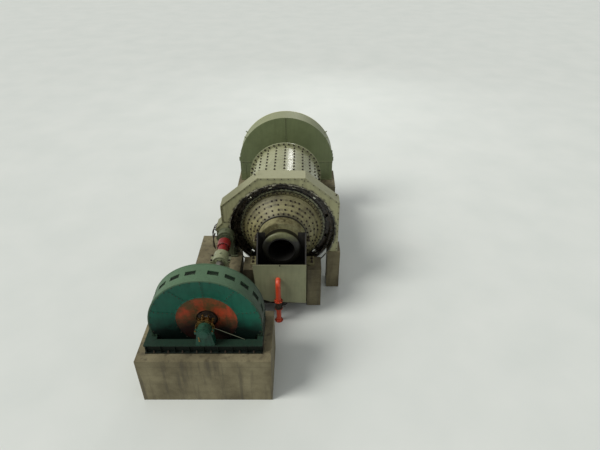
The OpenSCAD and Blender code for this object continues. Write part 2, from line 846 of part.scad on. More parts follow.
module stator_frame() {
    rib_t = 30;
    rib_out = 10;
    foot_edge = 20;
    rib_front = motor_mid - core_w / 2 - rib_out;
    rib_back = motor_mid + core_w / 2 + rib_out;
    wrapper_in = motor_r - wrapper_t;
    seat_r = core_r + running_gap;
    color(sea_green) placed() difference() {
        union() {
            intersection() {
                driven([
                    [wrapper_in, motor_front], [motor_r, motor_front], [motor_r, motor_back],
                    [wrapper_in, motor_back], [wrapper_in, rib_back], [seat_r, rib_back],
                    [seat_r, rib_back - rib_t], [wrapper_in, rib_back - rib_t],
                    [wrapper_in, rib_front + rib_t], [seat_r, rib_front + rib_t],
                    [seat_r, rib_front], [wrapper_in, rib_front]
                ]);
                above(base_top);
            }
            driven([
                [seat_r, motor_mid - belly_w / 2], [belly_r, motor_mid - belly_w / 2],
                [belly_r, motor_mid + belly_w / 2], [seat_r, motor_mid + belly_w / 2]
            ]);
            for (side = [-1, 1])
                block([drive_x + (side > 0 ? foot_clear : -base_right), motor_front + foot_edge, base_top],
                      [drive_x + (side > 0 ? base_right : -foot_clear), motor_back - foot_edge,
                       base_top + stator_foot_t]);
        }
        drive_bar(core_r + running_gap, motor_front - 1, motor_back + 1);
        for (side = [-1, 1], k = [0:window_count - 1])
            let (a = side * (window_joint / 2 + k * window_pitch))
                if (cos(a) > -0.2)
                    translate([drive_x, motor_mid, drive_z]) rotate([0, a, 0])
                        translate([0, 0, motor_r]) cube([window_len, window_w, 3 * wrapper_t], center = true);
    }
}

module stator_core() {
    color(black_steel) placed() driven([
        [stator_bore_r, motor_mid - core_w / 2], [core_r, motor_mid - core_w / 2],
        [core_r, motor_mid + core_w / 2], [stator_bore_r, motor_mid + core_w / 2]
    ]);
}

module motor_rotor() {
    bore = line_shaft_r + running_gap;
    rim_half = core_w / 2 - 12;
    rim_in = rotor_r - 150;
    web_half = 30;
    hub_half = motor_w / 2 - shield_dish - guide_depth + 30;
    color(black_steel) placed() driven([
        [bore, motor_mid - hub_half], [hub_rotor_d / 2, motor_mid - hub_half],
        [hub_rotor_d / 2, motor_mid - web_half], [rim_in, motor_mid - web_half],
        [rim_in, motor_mid - rim_half], [rotor_r, motor_mid - rim_half],
        [rotor_r, motor_mid + rim_half], [rim_in, motor_mid + rim_half],
        [rim_in, motor_mid + web_half], [hub_rotor_d / 2, motor_mid + web_half],
        [hub_rotor_d / 2, motor_mid + hub_half], [bore, motor_mid + hub_half]
    ]);
}

// Dished end shield, drawn at the motor's front
module end_shield() {
    out_r = motor_r - wrapper_t - running_gap;
    rim_y = shield_y + shield_t;
    intersection() {
        driven([
            [guide_d / 2, shield_y + shield_dish], [out_r, shield_y], [out_r, rim_y],
            [guide_d / 2, rim_y + shield_dish]
        ]);
        union() {
            above(base_top + stator_foot_t + running_gap);
            drive_bar(core_r, motor_front, rim_y + shield_dish + 1);
        }
    }
}

// Cone that leads the cooling air to the rotor, drawn at the motor's front
module air_guide() {
    start = shield_y + shield_dish;
    driven([
        [guide_hole_d / 2, start + guide_depth], [guide_d / 2, start],
        [guide_d / 2 - running_gap, start + shield_t], [guide_hole_d / 2, start + guide_depth + shield_t]
    ]);
}

// Mirrors the motor's front pieces to its back
module at_motor_back() {
    translate([0, motor_mid, 0]) mirror([0, 1, 0]) translate([0, -motor_mid, 0]) children();
}

module front_end_shield() {
    color(dark_teal) placed() end_shield();
}

module back_end_shield() {
    color(dark_teal) placed() at_motor_back() end_shield();
}

module front_air_guide() {
    color(warm_red) placed() air_guide();
}

module back_air_guide() {
    color(warm_red) placed() at_motor_back() air_guide();
}

// Pedestal bearing of the motor, from y0 towards +Y
module pedestal(y0) {
    head_r = pedestal_head_d / 2;
    half_w = pedestal_w / 2;
    sole_top = base_top + 60;
    difference() {
        union() {
            slab(y0, y0 + pedestal_t) polygon([
                [drive_x - half_w, base_top], [drive_x + half_w, base_top], [drive_x + half_w, sole_top],
                [drive_x + head_r, drive_z], [drive_x - head_r, drive_z], [drive_x - half_w, sole_top]
            ]);
            drive_bar(head_r, y0, y0 + pedestal_t);
        }
        drive_bar(line_shaft_r + running_gap, y0 - 1, y0 + pedestal_t + 1);
    }
}

module front_pedestal() {
    color(dark_teal) placed() pedestal(pedestal_y);
}

module back_pedestal() {
    color(dark_teal) placed() pedestal(back_beam_front + (back_beam_w - pedestal_t) / 2);
}

module slip_rings() {
    bore = line_shaft_r + running_gap;
    ring_r = slip_ring_d / 2;
    sleeve_r = line_shaft_r + 25;
    start = yoke_y + 140;
    ring_w = 50;
    pitch = 85;
    rings = 2;
    first = start + 15;
    color(gold) placed() driven(concat(
        [[bore, start], [sleeve_r, start]],
        [for (k = [0:rings - 1]) let (y = first + k * pitch) each [
            [sleeve_r, y], [ring_r, y], [ring_r, y + ring_w], [sleeve_r, y + ring_w]]],
        [[sleeve_r, start + rings * pitch], [bore, start + rings * pitch]]));
}

// Brush holders on a yoke behind the front pedestal
module brush_gear() {
    holder_in = slip_ring_d / 2 + 8;
    holder_out = holder_in + 110;
    yoke_low = drive_z - 60;
    holder = [50, 300, 70];
    color(gold) placed() union() {
        difference() {
            drive_bar(holder_out, yoke_y, yoke_y + yoke_t);
            drive_bar(holder_in, yoke_y - 1, yoke_y + yoke_t + 1);
            block([drive_x - holder_out - 1, yoke_y - 1, drive_z - holder_out - 1],
                  [drive_x + holder_out + 1, yoke_y + yoke_t + 1, yoke_low]);
        }
        for (a = [-60, -20, 20, 60])
            translate([drive_x, yoke_y, drive_z]) rotate([0, a, 0])
                translate([-holder[0] / 2, 0, holder_in]) cube(holder);
    }
}

module discharge_box() {
    back_y = box_back_y;
    front_y = plate_y + box_t;
    half_w = box_w / 2;
    top_z = axis_z + box_back_h;
    floor_back = box_floor_front - box_floor_fall;
    slot_r = bell_neck_r + 25;
    outlet_len = 150;
    color(black_steel) placed() difference() {
        union() {
            block([-half_w, back_y - box_t, floor_back], [half_w, back_y, top_z]);
            for (side = [0, 1])
                translate([side > 0 ? half_w - box_t : -half_w, 0, 0]) rotate([90, 0, 90])
                    linear_extrude(box_t) polygon([
                        [back_y, top_z], [back_y - box_t, top_z], [front_y, box_lip_z],
                        [front_y, box_floor_front], [back_y, floor_back]
                    ]);
            translate([-half_w, 0, 0]) rotate([90, 0, 90]) linear_extrude(box_w) polygon([
                [front_y, box_floor_front], [back_y, floor_back],
                [back_y, floor_back + box_t], [front_y, box_floor_front + box_t]
            ]);
            translate([0, outlet_y, floor_back - outlet_len])
                cylinder(d = outlet_d + 2 * box_t, h = 2 * outlet_len);
        }
        mill_bar(slot_r, back_y - box_t - 1, back_y + 1);
        block([-slot_r, back_y - box_t - 1, axis_z], [slot_r, back_y + 1, top_z + 1]);
        translate([0, outlet_y, floor_back - outlet_len - 1])
            cylinder(d = outlet_d, h = box_floor_fall + 2 * outlet_len);
    }
}

module discharge_front_plate() {
    left = box_w / 2 + plate_over;
    right = box_w / 2;
    low = box_floor_front;
    color(cream) placed() difference() {
        slab(plate_y, plate_y + box_t) polygon([
            [-left, box_lip_z], [-left + 120, low + 270], [-right / 2, low + 80], [right, low],
            [right, box_lip_z]
        ]);
        translate([-water_pipe_left, plate_y - 1, axis_z - water_pipe_drop]) rotate([-90, 0, 0])
            cylinder(d = water_pipe_d - 2 * water_wall, h = box_t + 2);
    }
}

// Flush water pipe: a stub on the front plate, an elbow down and a bolted flange
module flush_water_inlet() {
    bend = 150;
    stub = 60;
    pipe_r = water_pipe_d / 2;
    bend_out = bend + pipe_r + 1;
    collar_t = 25;
    collar_over = 70;
    bolt_ring = pipe_r + 47;
    bolts = 8;
    bolt_hole = 22;
    color(warm_red) placed() translate([-water_pipe_left, plate_y, axis_z - water_pipe_drop]) union() {
        rotate([90, 0, 0]) pipe(pipe_r, water_wall, stub);
        translate([0, -stub, -bend]) rotate([0, 0, 180]) rotate([0, -90, 0]) intersection() {
            rotate_extrude() translate([bend, 0]) pipe_ring(pipe_r, water_wall);
            translate([0, 0, -pipe_r - 1]) cube([bend_out, bend_out, 2 * pipe_r + 2]);
        }
        translate([0, -stub - bend, -bend - water_riser]) difference() {
            union() {
                cylinder(r = pipe_r, h = water_riser);
                cylinder(r = pipe_r + collar_over, h = collar_t);
            }
            translate([0, 0, -1]) cylinder(r = pipe_r - water_wall, h = water_riser + 2);
            for (k = [0:bolts - 1]) rotate([0, 0, (k + 0.5) * 360 / bolts])
                translate([bolt_ring, 0, -1]) cylinder(d = bolt_hole, h = collar_t + 2);
        }
    }
}

module pipe_ring(r, wall) {
    difference() {
        circle(r);
        circle(r - wall);
    }
}

module pipe(r, wall, len) {
    linear_extrude(len) pipe_ring(r, wall);
}

// The upper half of the hood as a turned shell
module hood_ring() {
    hole_r = hood_hole_d / 2;
    back_hole = spout_r + running_gap;
    turned([
        [hole_r, hood_y], [hood_r, hood_y], [hood_r, hood_back_y], [back_hole, hood_back_y],
        [back_hole, hood_back_y - hood_t], [hood_in, hood_back_y - hood_t],
        [hood_in, hood_y + hood_t], [hole_r, hood_y + hood_t]
    ]);
}

module hood_left() {
    color(hood_green) placed() intersection() {
        hood_ring();
        block([-hood_r - 1, hood_y - 1, axis_z], [0, hood_back_y + 1, axis_z + hood_r + 1]);
    }
}

module hood_right() {
    color(hood_green) placed() intersection() {
        hood_ring();
        block([0, hood_y - 1, axis_z], [hood_r + 1, hood_back_y + 1, axis_z + hood_r + 1]);
    }
}

// The skirt below the hood: a plate in front, one at the back and one at either end
module hood_skirt() {
    joint_gap = hood_t + running_gap;
    color(hood_green) placed() {
        skirt_plate(hood_y, hood_hole_d / 2);
        skirt_plate(hood_back_y - hood_t, spout_r + running_gap);
        for (side = [-hood_r, hood_in])
            block([side, hood_y + joint_gap, pier_h], [side + hood_t, hood_back_y - joint_gap, axis_z]);
    }
}

// One wide plate of the skirt, cut out round the mill axis
module skirt_plate(y, hole_r) {
    slab(y, y + hood_t) difference() {
        translate([-hood_r, pier_h]) square([2 * hood_r, axis_z - pier_h]);
        translate([0, axis_z]) circle(hole_r);
    }
}

module feed_spout() {
    wall = 25;
    collar_r = spout_r + 95;
    collar_t = 30;
    end_y = hood_back_y + spout_out;
    start = feeder_end - 160;
    bolt_ring = spout_r + 55;
    bolts = 12;
    bolt_hole = 26;
    color(hood_green) placed() difference() {
        turned([
            [spout_r - wall, start], [spout_r, start], [spout_r, end_y - collar_t],
            [collar_r, end_y - collar_t], [collar_r, end_y], [spout_r - wall, end_y]
        ]);
        for (k = [0:bolts - 1]) rotate_about_mill((k + 0.5) * 360 / bolts)
            translate([bolt_ring, end_y - collar_t - 1, 0]) rotate([-90, 0, 0])
                cylinder(d = bolt_hole, h = collar_t + 2);
    }
}

drive_foundation();
discharge_pier();
feed_pier();
guard_wall();
discharge_bearing_base();
discharge_bearing_cap();
feed_bearing_base();
feed_bearing_cap();
shell();
discharge_head();
feed_head();
discharge_bell();
girth_gear();
feeder_drum();
feeder_end_plate();
feeder_scoops();
guard_front();
guard_back();
guard_roof();
guard_left_side();
guard_right_side();
pinion();
pinion_shaft();
pinion_front_bearing();
pinion_back_bearing();
coupling_pinion_half();
coupling_shaft_half();
line_shaft();
line_shaft_bearing();
motor_base_frame();
stator_frame();
stator_core();
motor_rotor();
front_end_shield();
back_end_shield();
front_air_guide();
back_air_guide();
front_pedestal();
back_pedestal();
slip_rings();
brush_gear();
discharge_box();
discharge_front_plate();
flush_water_inlet();
hood_left();
hood_right();
hood_skirt();
feed_spout();
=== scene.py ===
# Looks of a grinding ball mill with its girth gear drive, low-speed motor, scoop feeder and concrete piers.
# Metres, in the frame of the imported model: +Z up, mill axis along Y, discharge end facing -Y.
import json
import math
import random

import bmesh
import bpy
from mathutils import Matrix, Vector


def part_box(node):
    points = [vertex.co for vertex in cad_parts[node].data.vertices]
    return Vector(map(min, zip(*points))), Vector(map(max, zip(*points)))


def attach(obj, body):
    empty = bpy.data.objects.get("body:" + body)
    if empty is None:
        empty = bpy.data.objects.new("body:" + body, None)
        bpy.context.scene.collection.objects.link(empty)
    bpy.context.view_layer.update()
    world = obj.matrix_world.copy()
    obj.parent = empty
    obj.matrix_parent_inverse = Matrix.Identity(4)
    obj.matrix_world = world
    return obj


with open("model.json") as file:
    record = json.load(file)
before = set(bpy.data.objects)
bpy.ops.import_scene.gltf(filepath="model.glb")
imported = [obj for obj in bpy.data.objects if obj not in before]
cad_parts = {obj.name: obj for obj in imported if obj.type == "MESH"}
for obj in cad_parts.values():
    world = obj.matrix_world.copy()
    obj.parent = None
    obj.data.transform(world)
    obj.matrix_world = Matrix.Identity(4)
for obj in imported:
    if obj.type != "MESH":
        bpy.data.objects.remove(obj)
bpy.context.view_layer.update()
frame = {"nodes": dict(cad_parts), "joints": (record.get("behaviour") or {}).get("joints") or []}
nodes = frame["nodes"]


# Camera, floor and light
# The viewer stands on a gallery in front of the discharge end and looks down along the mill.
# Soft light comes from the left, as from a window wall, and from one tall window behind the feed end.
camera_data = bpy.data.cameras.new("gallery_camera")
camera_data.lens = 28.08
camera_data.sensor_width = 36.0
camera_data.clip_end = 500.0
camera = bpy.data.objects.new("gallery_camera", camera_data)
camera.location = (0.726, -15.435, 14.0)
camera.rotation_euler = (math.radians(56.45), 0.0, 0.0)
bpy.context.scene.collection.objects.link(camera)
bpy.context.scene.camera = camera
bpy.context.scene.view_settings.view_transform = "Standard"


def linear(red, green, blue):
    """A display colour as the linear colour that the shaders want."""
    return tuple(c / 12.92 if c <= 0.04045 else ((c + 0.055) / 1.055) ** 2.4 for c in (red, green, blue)) + (1.0,)


def add(tree, kind, inputs=None, **settings):
    """Adds a shader node and sets or links its inputs."""
    node = tree.nodes.new(kind)
    for name, value in settings.items():
        setattr(node, name, value)
    for name, value in (inputs or {}).items():
        if isinstance(value, bpy.types.NodeSocket):
            tree.links.new(value, node.inputs[name])
        else:
            node.inputs[name].default_value = value
    return node


def empty_material(name):
    """A material with nothing in it but its output."""
    material = bpy.data.materials.new(name)
    material.use_nodes = True
    material.node_tree.nodes.clear()
    output = add(material.node_tree, "ShaderNodeOutputMaterial")
    return material, material.node_tree, output


def floor_material():
    """Pale matt floor with faint cloudiness."""
    material, tree, output = empty_material("pale_floor")
    where = add(tree, "ShaderNodeTexCoord")
    clouds = add(tree, "ShaderNodeTexNoise", {"Vector": where.outputs["Object"], "Scale": 0.35, "Detail": 4.0})
    ramp = add(tree, "ShaderNodeValToRGB", {"Fac": clouds.outputs["Fac"]})
    ramp.color_ramp.elements[0].color = linear(0.78, 0.80, 0.78)
    ramp.color_ramp.elements[1].color = linear(0.84, 0.85, 0.83)
    shader = add(tree, "ShaderNodeBsdfPrincipled", {"Base Color": ramp.outputs["Color"], "Roughness": 0.7})
    tree.links.new(shader.outputs[0], output.inputs["Surface"])
    return material


floor_reach = 160.0
floor_mesh = bpy.data.meshes.new("floor")
floor_mesh.from_pydata([(-floor_reach, -floor_reach, 0.0), (floor_reach, -floor_reach, 0.0),
                        (floor_reach, floor_reach, 0.0), (-floor_reach, floor_reach, 0.0)], [], [(0, 1, 2, 3)])
floor_mesh.materials.append(floor_material())
floor = bpy.data.objects.new("floor", floor_mesh)
floor.location.z = -0.002
bpy.context.scene.collection.objects.link(floor)

world = bpy.data.worlds.new("soft_sky")
world.use_nodes = True
world.node_tree.nodes["Background"].inputs["Color"].default_value = (0.97, 0.99, 1.0, 1.0)
world.node_tree.nodes["Background"].inputs["Strength"].default_value = 0.47
bpy.context.scene.world = world
wall_light_data = bpy.data.lights.new("left_window_wall", "SUN")
wall_light_data.energy = 2.5
wall_light_data.angle = math.radians(28.0)
wall_light_data.color = (1.0, 0.985, 0.95)
wall_light = bpy.data.objects.new("left_window_wall", wall_light_data)
wall_light.rotation_euler = (math.radians(13.0), math.radians(-43.0), 0.0)
bpy.context.scene.collection.objects.link(wall_light)
end_light_data = bpy.data.lights.new("end_window", "AREA")
end_light_data.shape = "RECTANGLE"
end_light_data.size = 3.2
end_light_data.size_y = 9.0
end_light_data.energy = 900.0
end_light = bpy.data.objects.new("end_window", end_light_data)
end_light.location = (4.2, 31.0, 16.5)
end_light.rotation_euler = (Vector((0.0, 3.4, 4.0)) - end_light.location).to_track_quat("-Z", "Y").to_euler()
end_light.visible_camera = False
bpy.context.scene.collection.objects.link(end_light)


# Concrete piers
# Blocks of cast concrete carry the mill, its drive and the guard's side, down to the floor of the pit.
# They are cast in boards, left bare, and brown with years of slurry, oil and dust.
def cast_stain_group():
    """Boards, pores and slurry marks of bare concrete, as colour, roughness and height."""
    group = bpy.data.node_groups.new("cast_concrete", "ShaderNodeTree")
    face = group.interface
    face.new_socket("Pale", in_out="INPUT", socket_type="NodeSocketColor")
    face.new_socket("Dark", in_out="INPUT", socket_type="NodeSocketColor")
    face.new_socket("Slurry", in_out="INPUT", socket_type="NodeSocketColor")
    face.new_socket("Color", in_out="OUTPUT", socket_type="NodeSocketColor")
    face.new_socket("Roughness", in_out="OUTPUT", socket_type="NodeSocketFloat")
    face.new_socket("Height", in_out="OUTPUT", socket_type="NodeSocketFloat")
    given = add(group, "NodeGroupInput").outputs
    where = add(group, "ShaderNodeTexCoord").outputs["Object"]
    clouds = add(group, "ShaderNodeTexNoise", {"Vector": where, "Scale": 0.8, "Detail": 8.0, "Roughness": 0.62})
    specks = add(group, "ShaderNodeTexNoise", {"Vector": where, "Scale": 26.0, "Detail": 6.0, "Roughness": 0.7})
    pores = add(group, "ShaderNodeTexVoronoi", {"Vector": where, "Scale": 34.0})
    stretch = add(group, "ShaderNodeMapping", {"Vector": where, "Scale": (5.0, 5.0, 0.45)})
    runs = add(group, "ShaderNodeTexNoise", {"Vector": stretch.outputs[0], "Scale": 1.0, "Detail": 7.0})
    cloud_mask = add(group, "ShaderNodeMapRange", {"Value": clouds.outputs["Fac"], "From Min": 0.35, "From Max": 0.66})
    base = add(group, "ShaderNodeMixRGB", {"Fac": cloud_mask.outputs[0], "Color1": given["Dark"], "Color2": given["Pale"]})
    speck_mask = add(group, "ShaderNodeMapRange", {"Value": specks.outputs["Fac"], "From Min": 0.3, "From Max": 0.7,
                                                   "To Min": 0.82, "To Max": 1.12})
    speckled = add(group, "ShaderNodeMixRGB", {"Fac": 1.0, "Color1": base.outputs[0], "Color2": speck_mask.outputs[0]},
                   blend_type="MULTIPLY")
    run_mask = add(group, "ShaderNodeMapRange", {"Value": runs.outputs["Fac"], "From Min": 0.52, "From Max": 0.7})
    run_share = add(group, "ShaderNodeMath", {0: run_mask.outputs[0], 1: 0.75}, operation="MULTIPLY")
    stained = add(group, "ShaderNodeMixRGB", {"Fac": run_share.outputs[0], "Color1": speckled.outputs[0],
                                              "Color2": given["Slurry"]})
    split = add(group, "ShaderNodeSeparateXYZ", {"Vector": where})
    board = add(group, "ShaderNodeMath", {0: split.outputs["Z"], 1: 0.21}, operation="PINGPONG")
    seam = add(group, "ShaderNodeMapRange", {"Value": board.outputs[0], "From Min": 0.0, "From Max": 0.012})
    seamed = add(group, "ShaderNodeMixRGB", {"Fac": 0.35, "Color1": stained.outputs[0], "Color2": seam.outputs[0]},
                 blend_type="MULTIPLY")
    pore_mask = add(group, "ShaderNodeMapRange", {"Value": pores.outputs["Distance"], "From Min": 0.0, "From Max": 0.25})
    relief = add(group, "ShaderNodeMath", {0: pore_mask.outputs[0], 1: specks.outputs["Fac"]}, operation="MULTIPLY")
    height = add(group, "ShaderNodeMath", {0: relief.outputs[0], 1: seam.outputs[0]}, operation="ADD")
    rough = add(group, "ShaderNodeMapRange", {"Value": run_mask.outputs[0], "To Min": 0.9, "To Max": 0.62})
    add(group, "NodeGroupOutput", {"Color": seamed.outputs[0], "Roughness": rough.outputs[0],
                                   "Height": height.outputs[0]})
    return group


def concrete_material():
    """Bare brown-grey concrete with board marks."""
    material, tree, output = empty_material("bare_concrete")
    surface = add(tree, "ShaderNodeGroup", node_tree=cast_stain_group())
    surface.inputs["Pale"].default_value = linear(0.50, 0.47, 0.36)
    surface.inputs["Dark"].default_value = linear(0.35, 0.32, 0.23)
    surface.inputs["Slurry"].default_value = linear(0.23, 0.20, 0.13)
    bump = add(tree, "ShaderNodeBump", {"Height": surface.outputs["Height"], "Strength": 0.5, "Distance": 0.006})
    shader = add(tree, "ShaderNodeBsdfPrincipled", {"Base Color": surface.outputs["Color"],
                                                    "Roughness": surface.outputs["Roughness"],
                                                    "Normal": bump.outputs[0]})
    tree.links.new(shader.outputs[0], output.inputs["Surface"])
    return material


def finish_node(name, material):
    """Gives a solid of the frame its material."""
    mesh = nodes[name].data
    mesh.materials.clear()
    mesh.materials.append(material)


concrete = concrete_material()
for name in ("drive_foundation", "discharge_pier", "feed_pier", "guard_wall"):
    finish_node(name, concrete)


# Drum shell
# A rolled and welded steel shell with a flange at either end, painted cream, streaked with dried slurry.
# Its liner bolts stand in rows along the drum, and nuts join each flange to its head.
mill = Vector(next(j["pos_m"] for j in frame["joints"] if j["name"] == "drum_spin"))
drive = Vector(next(j["pos_m"] for j in frame["joints"] if j["name"] == "pinion_spin"))


def weathering_group():
    """Mottled paint under dust on top and dried runs on the sides, as colour, roughness and height."""
    group = bpy.data.node_groups.new("weathering", "ShaderNodeTree")
    face = group.interface
    for name in ("Paint", "Dust", "Stain"):
        face.new_socket(name, in_out="INPUT", socket_type="NodeSocketColor")
    for name in ("Dust Amount", "Stain Amount", "Gloss", "Grain"):
        face.new_socket(name, in_out="INPUT", socket_type="NodeSocketFloat")
    face.new_socket("Color", in_out="OUTPUT", socket_type="NodeSocketColor")
    face.new_socket("Roughness", in_out="OUTPUT", socket_type="NodeSocketFloat")
    face.new_socket("Height", in_out="OUTPUT", socket_type="NodeSocketFloat")
    given = add(group, "NodeGroupInput").outputs
    where = add(group, "ShaderNodeTexCoord").outputs["Object"]
    clouds = add(group, "ShaderNodeTexNoise", {"Vector": where, "Scale": 1.9, "Detail": 7.0, "Roughness": 0.6})
    fine = add(group, "ShaderNodeTexNoise", {"Vector": where, "Scale": 14.0, "Detail": 8.0, "Roughness": 0.68})
    grain = add(group, "ShaderNodeTexNoise", {"Vector": where, "Scale": given["Grain"], "Detail": 3.0})
    stretch = add(group, "ShaderNodeMapping", {"Vector": where, "Scale": (7.0, 7.0, 0.7)})
    runs = add(group, "ShaderNodeTexNoise", {"Vector": stretch.outputs[0], "Scale": 1.3, "Detail": 8.0, "Roughness": 0.6})
    shade = add(group, "ShaderNodeMapRange", {"Value": clouds.outputs["Fac"], "From Min": 0.3, "From Max": 0.7,
                                              "To Min": 0.84, "To Max": 1.08})
    mottled = add(group, "ShaderNodeMixRGB", {"Fac": 1.0, "Color1": given["Paint"], "Color2": shade.outputs[0]},
                  blend_type="MULTIPLY")
    run_mask = add(group, "ShaderNodeMapRange", {"Value": runs.outputs["Fac"], "From Min": 0.47, "From Max": 0.68})
    run_share = add(group, "ShaderNodeMath", {0: run_mask.outputs[0], 1: given["Stain Amount"]}, operation="MULTIPLY",
                    use_clamp=True)
    stained = add(group, "ShaderNodeMixRGB", {"Fac": run_share.outputs[0], "Color1": mottled.outputs[0],
                                              "Color2": given["Stain"]})
    normal = add(group, "ShaderNodeNewGeometry").outputs["Normal"]
    up = add(group, "ShaderNodeSeparateXYZ", {"Vector": normal}).outputs["Z"]
    upward = add(group, "ShaderNodeMapRange", {"Value": up, "From Min": 0.15, "From Max": 0.95})
    patchy = add(group, "ShaderNodeMapRange", {"Value": fine.outputs["Fac"], "From Min": 0.3, "From Max": 0.62,
                                               "To Min": 0.45, "To Max": 1.0})
    dust_here = add(group, "ShaderNodeMath", {0: upward.outputs[0], 1: patchy.outputs[0]}, operation="MULTIPLY")
    dust_share = add(group, "ShaderNodeMath", {0: dust_here.outputs[0], 1: given["Dust Amount"]}, operation="MULTIPLY",
                     use_clamp=True)
    dusty = add(group, "ShaderNodeMixRGB", {"Fac": dust_share.outputs[0], "Color1": stained.outputs[0],
                                            "Color2": given["Dust"]})
    dull = add(group, "ShaderNodeMath", {0: dust_share.outputs[0], 1: 0.35, 2: given["Gloss"]}, operation="MULTIPLY_ADD")
    rough = add(group, "ShaderNodeMath", {0: run_share.outputs[0], 1: 0.2, 2: dull.outputs[0]}, operation="MULTIPLY_ADD",
                use_clamp=True)
    relief = add(group, "ShaderNodeMath", {0: grain.outputs["Fac"], 1: fine.outputs["Fac"]}, operation="MULTIPLY")
    height = add(group, "ShaderNodeMath", {0: run_share.outputs[0], 1: 0.3, 2: relief.outputs[0]},
                 operation="MULTIPLY_ADD")
    add(group, "NodeGroupOutput", {"Color": dusty.outputs[0], "Roughness": rough.outputs[0],
                                   "Height": height.outputs[0]})
    return group


def edge_wear_group():
    """Rubbed edges: the wear colour shows where a rounded copy of the surface would bend away."""
    group = bpy.data.node_groups.new("edge_wear", "ShaderNodeTree")
    face = group.interface
    face.new_socket("Color", in_out="INPUT", socket_type="NodeSocketColor")
    face.new_socket("Wear", in_out="INPUT", socket_type="NodeSocketColor")
    face.new_socket("Radius", in_out="INPUT", socket_type="NodeSocketFloat")
    face.new_socket("Amount", in_out="INPUT", socket_type="NodeSocketFloat")
    face.new_socket("Color", in_out="OUTPUT", socket_type="NodeSocketColor")
    given = add(group, "NodeGroupInput").outputs
    where = add(group, "ShaderNodeTexCoord").outputs["Object"]
    rounded = add(group, "ShaderNodeBevel", {"Radius": given["Radius"]}, samples=4)
    normal = add(group, "ShaderNodeNewGeometry").outputs["Normal"]
    same = add(group, "ShaderNodeVectorMath", {0: rounded.outputs[0], 1: normal}, operation="DOT_PRODUCT")
    bend = add(group, "ShaderNodeMapRange", {"Value": same.outputs["Value"], "From Min": 0.985, "From Max": 0.86})
    chips = add(group, "ShaderNodeTexNoise", {"Vector": where, "Scale": 22.0, "Detail": 6.0})
    chip_mask = add(group, "ShaderNodeMapRange", {"Value": chips.outputs["Fac"], "From Min": 0.42, "From Max": 0.6})
    worn = add(group, "ShaderNodeMath", {0: bend.outputs[0], 1: chip_mask.outputs[0]}, operation="MULTIPLY")
    share = add(group, "ShaderNodeMath", {0: worn.outputs[0], 1: given["Amount"]}, operation="MULTIPLY", use_clamp=True)
    mixed = add(group, "ShaderNodeMixRGB", {"Fac": share.outputs[0], "Color1": given["Color"], "Color2": given["Wear"]})
    add(group, "NodeGroupOutput", {"Color": mixed.outputs[0]})
    return group


weathering = weathering_group()
edge_wear = edge_wear_group()


def weathered_paint(name, paint, dust, stain, dust_amount, stain_amount, gloss, wear, wear_amount=0.5, coat=0.0,
                    shine=0.5):
    """Paint on steel with dust, runs and rubbed edges. Returns the material."""
    material, tree, output = empty_material(name)
    surface = add(tree, "ShaderNodeGroup", node_tree=weathering)
    for socket, value in (("Paint", paint), ("Dust", dust), ("Stain", stain), ("Dust Amount", dust_amount),
                          ("Stain Amount", stain_amount), ("Gloss", gloss), ("Grain", 120.0)):
        surface.inputs[socket].default_value = value
    worn = add(tree, "ShaderNodeGroup", {"Color": surface.outputs["Color"]}, node_tree=edge_wear)
    worn.inputs["Wear"].default_value = wear
    worn.inputs["Radius"].default_value = 0.012
    worn.inputs["Amount"].default_value = wear_amount
    bump = add(tree, "ShaderNodeBump", {"Height": surface.outputs["Height"], "Strength": 0.25, "Distance": 0.002})
    shader = add(tree, "ShaderNodeBsdfPrincipled", {"Base Color": worn.outputs["Color"],
                                                    "Roughness": surface.outputs["Roughness"],
                                                    "Normal": bump.outputs[0], "Coat Weight": coat,
                                                    "Coat Roughness": 0.2, "Specular IOR Level": shine})
    tree.links.new(shader.outputs[0], output.inputs["Surface"])
    return material


def cover_paint(material, share, color):
    """Lays another colour over a paint, as thickly as the share says."""
    tree = material.node_tree
    shader = next(n for n in tree.nodes if n.type == "BSDF_PRINCIPLED")
    below = shader.inputs["Base Color"].links[0].from_socket
    mixed = add(tree, "ShaderNodeMixRGB", {"Fac": share, "Color1": below, "Color2": color})
    tree.links.new(mixed.outputs[0], shader.inputs["Base Color"])
    return material


def radius_round(tree, centre):
    """The place on the piece and its distance from an axis along Y, for the shaders."""
    where = add(tree, "ShaderNodeTexCoord").outputs["Object"]
    local = add(tree, "ShaderNodeVectorMath", {0: where, 1: tuple(centre)}, operation="SUBTRACT")
    flat = add(tree, "ShaderNodeVectorMath", {0: local.outputs[0], 1: (1.0, 0.0, 1.0)}, operation="MULTIPLY")
    return where, add(tree, "ShaderNodeVectorMath", {0: flat.outputs[0]}, operation="LENGTH").outputs["Value"]


def stain_and_shade_near_axis(material, centre, near, far, color, strength, scale=5.0, behind=None):
    """A splashed darkening, used for stains and for painted shade, full at one distance from an axis along Y and gone
    at another, with a ragged edge.
    """
    tree = material.node_tree
    where, radius = radius_round(tree, centre)
    splash = add(tree, "ShaderNodeTexNoise", {"Vector": where, "Scale": scale, "Detail": 9.0, "Roughness": 0.7})
    width = far - near
    ragged = add(tree, "ShaderNodeMath", {0: splash.outputs["Fac"], 1: 2.2 * width, 2: radius},
                 operation="MULTIPLY_ADD")
    edge = (near + far) / 2 + 1.1 * width
    band = add(tree, "ShaderNodeMapRange", {"Value": ragged.outputs[0], "From Min": edge + 0.22 * width,
                                            "From Max": edge - 0.22 * width, "To Max": strength})
    if behind is None:
        return cover_paint(material, band.outputs[0], color)
    along = add(tree, "ShaderNodeSeparateXYZ", {"Vector": where}).outputs["Y"]
    reach = add(tree, "ShaderNodeMapRange", {"Value": along, "From Min": behind + 0.01, "From Max": behind - 0.01})
    share = add(tree, "ShaderNodeMath", {0: band.outputs[0], 1: reach.outputs[0]}, operation="MULTIPLY")
    return cover_paint(material, share.outputs[0], color)


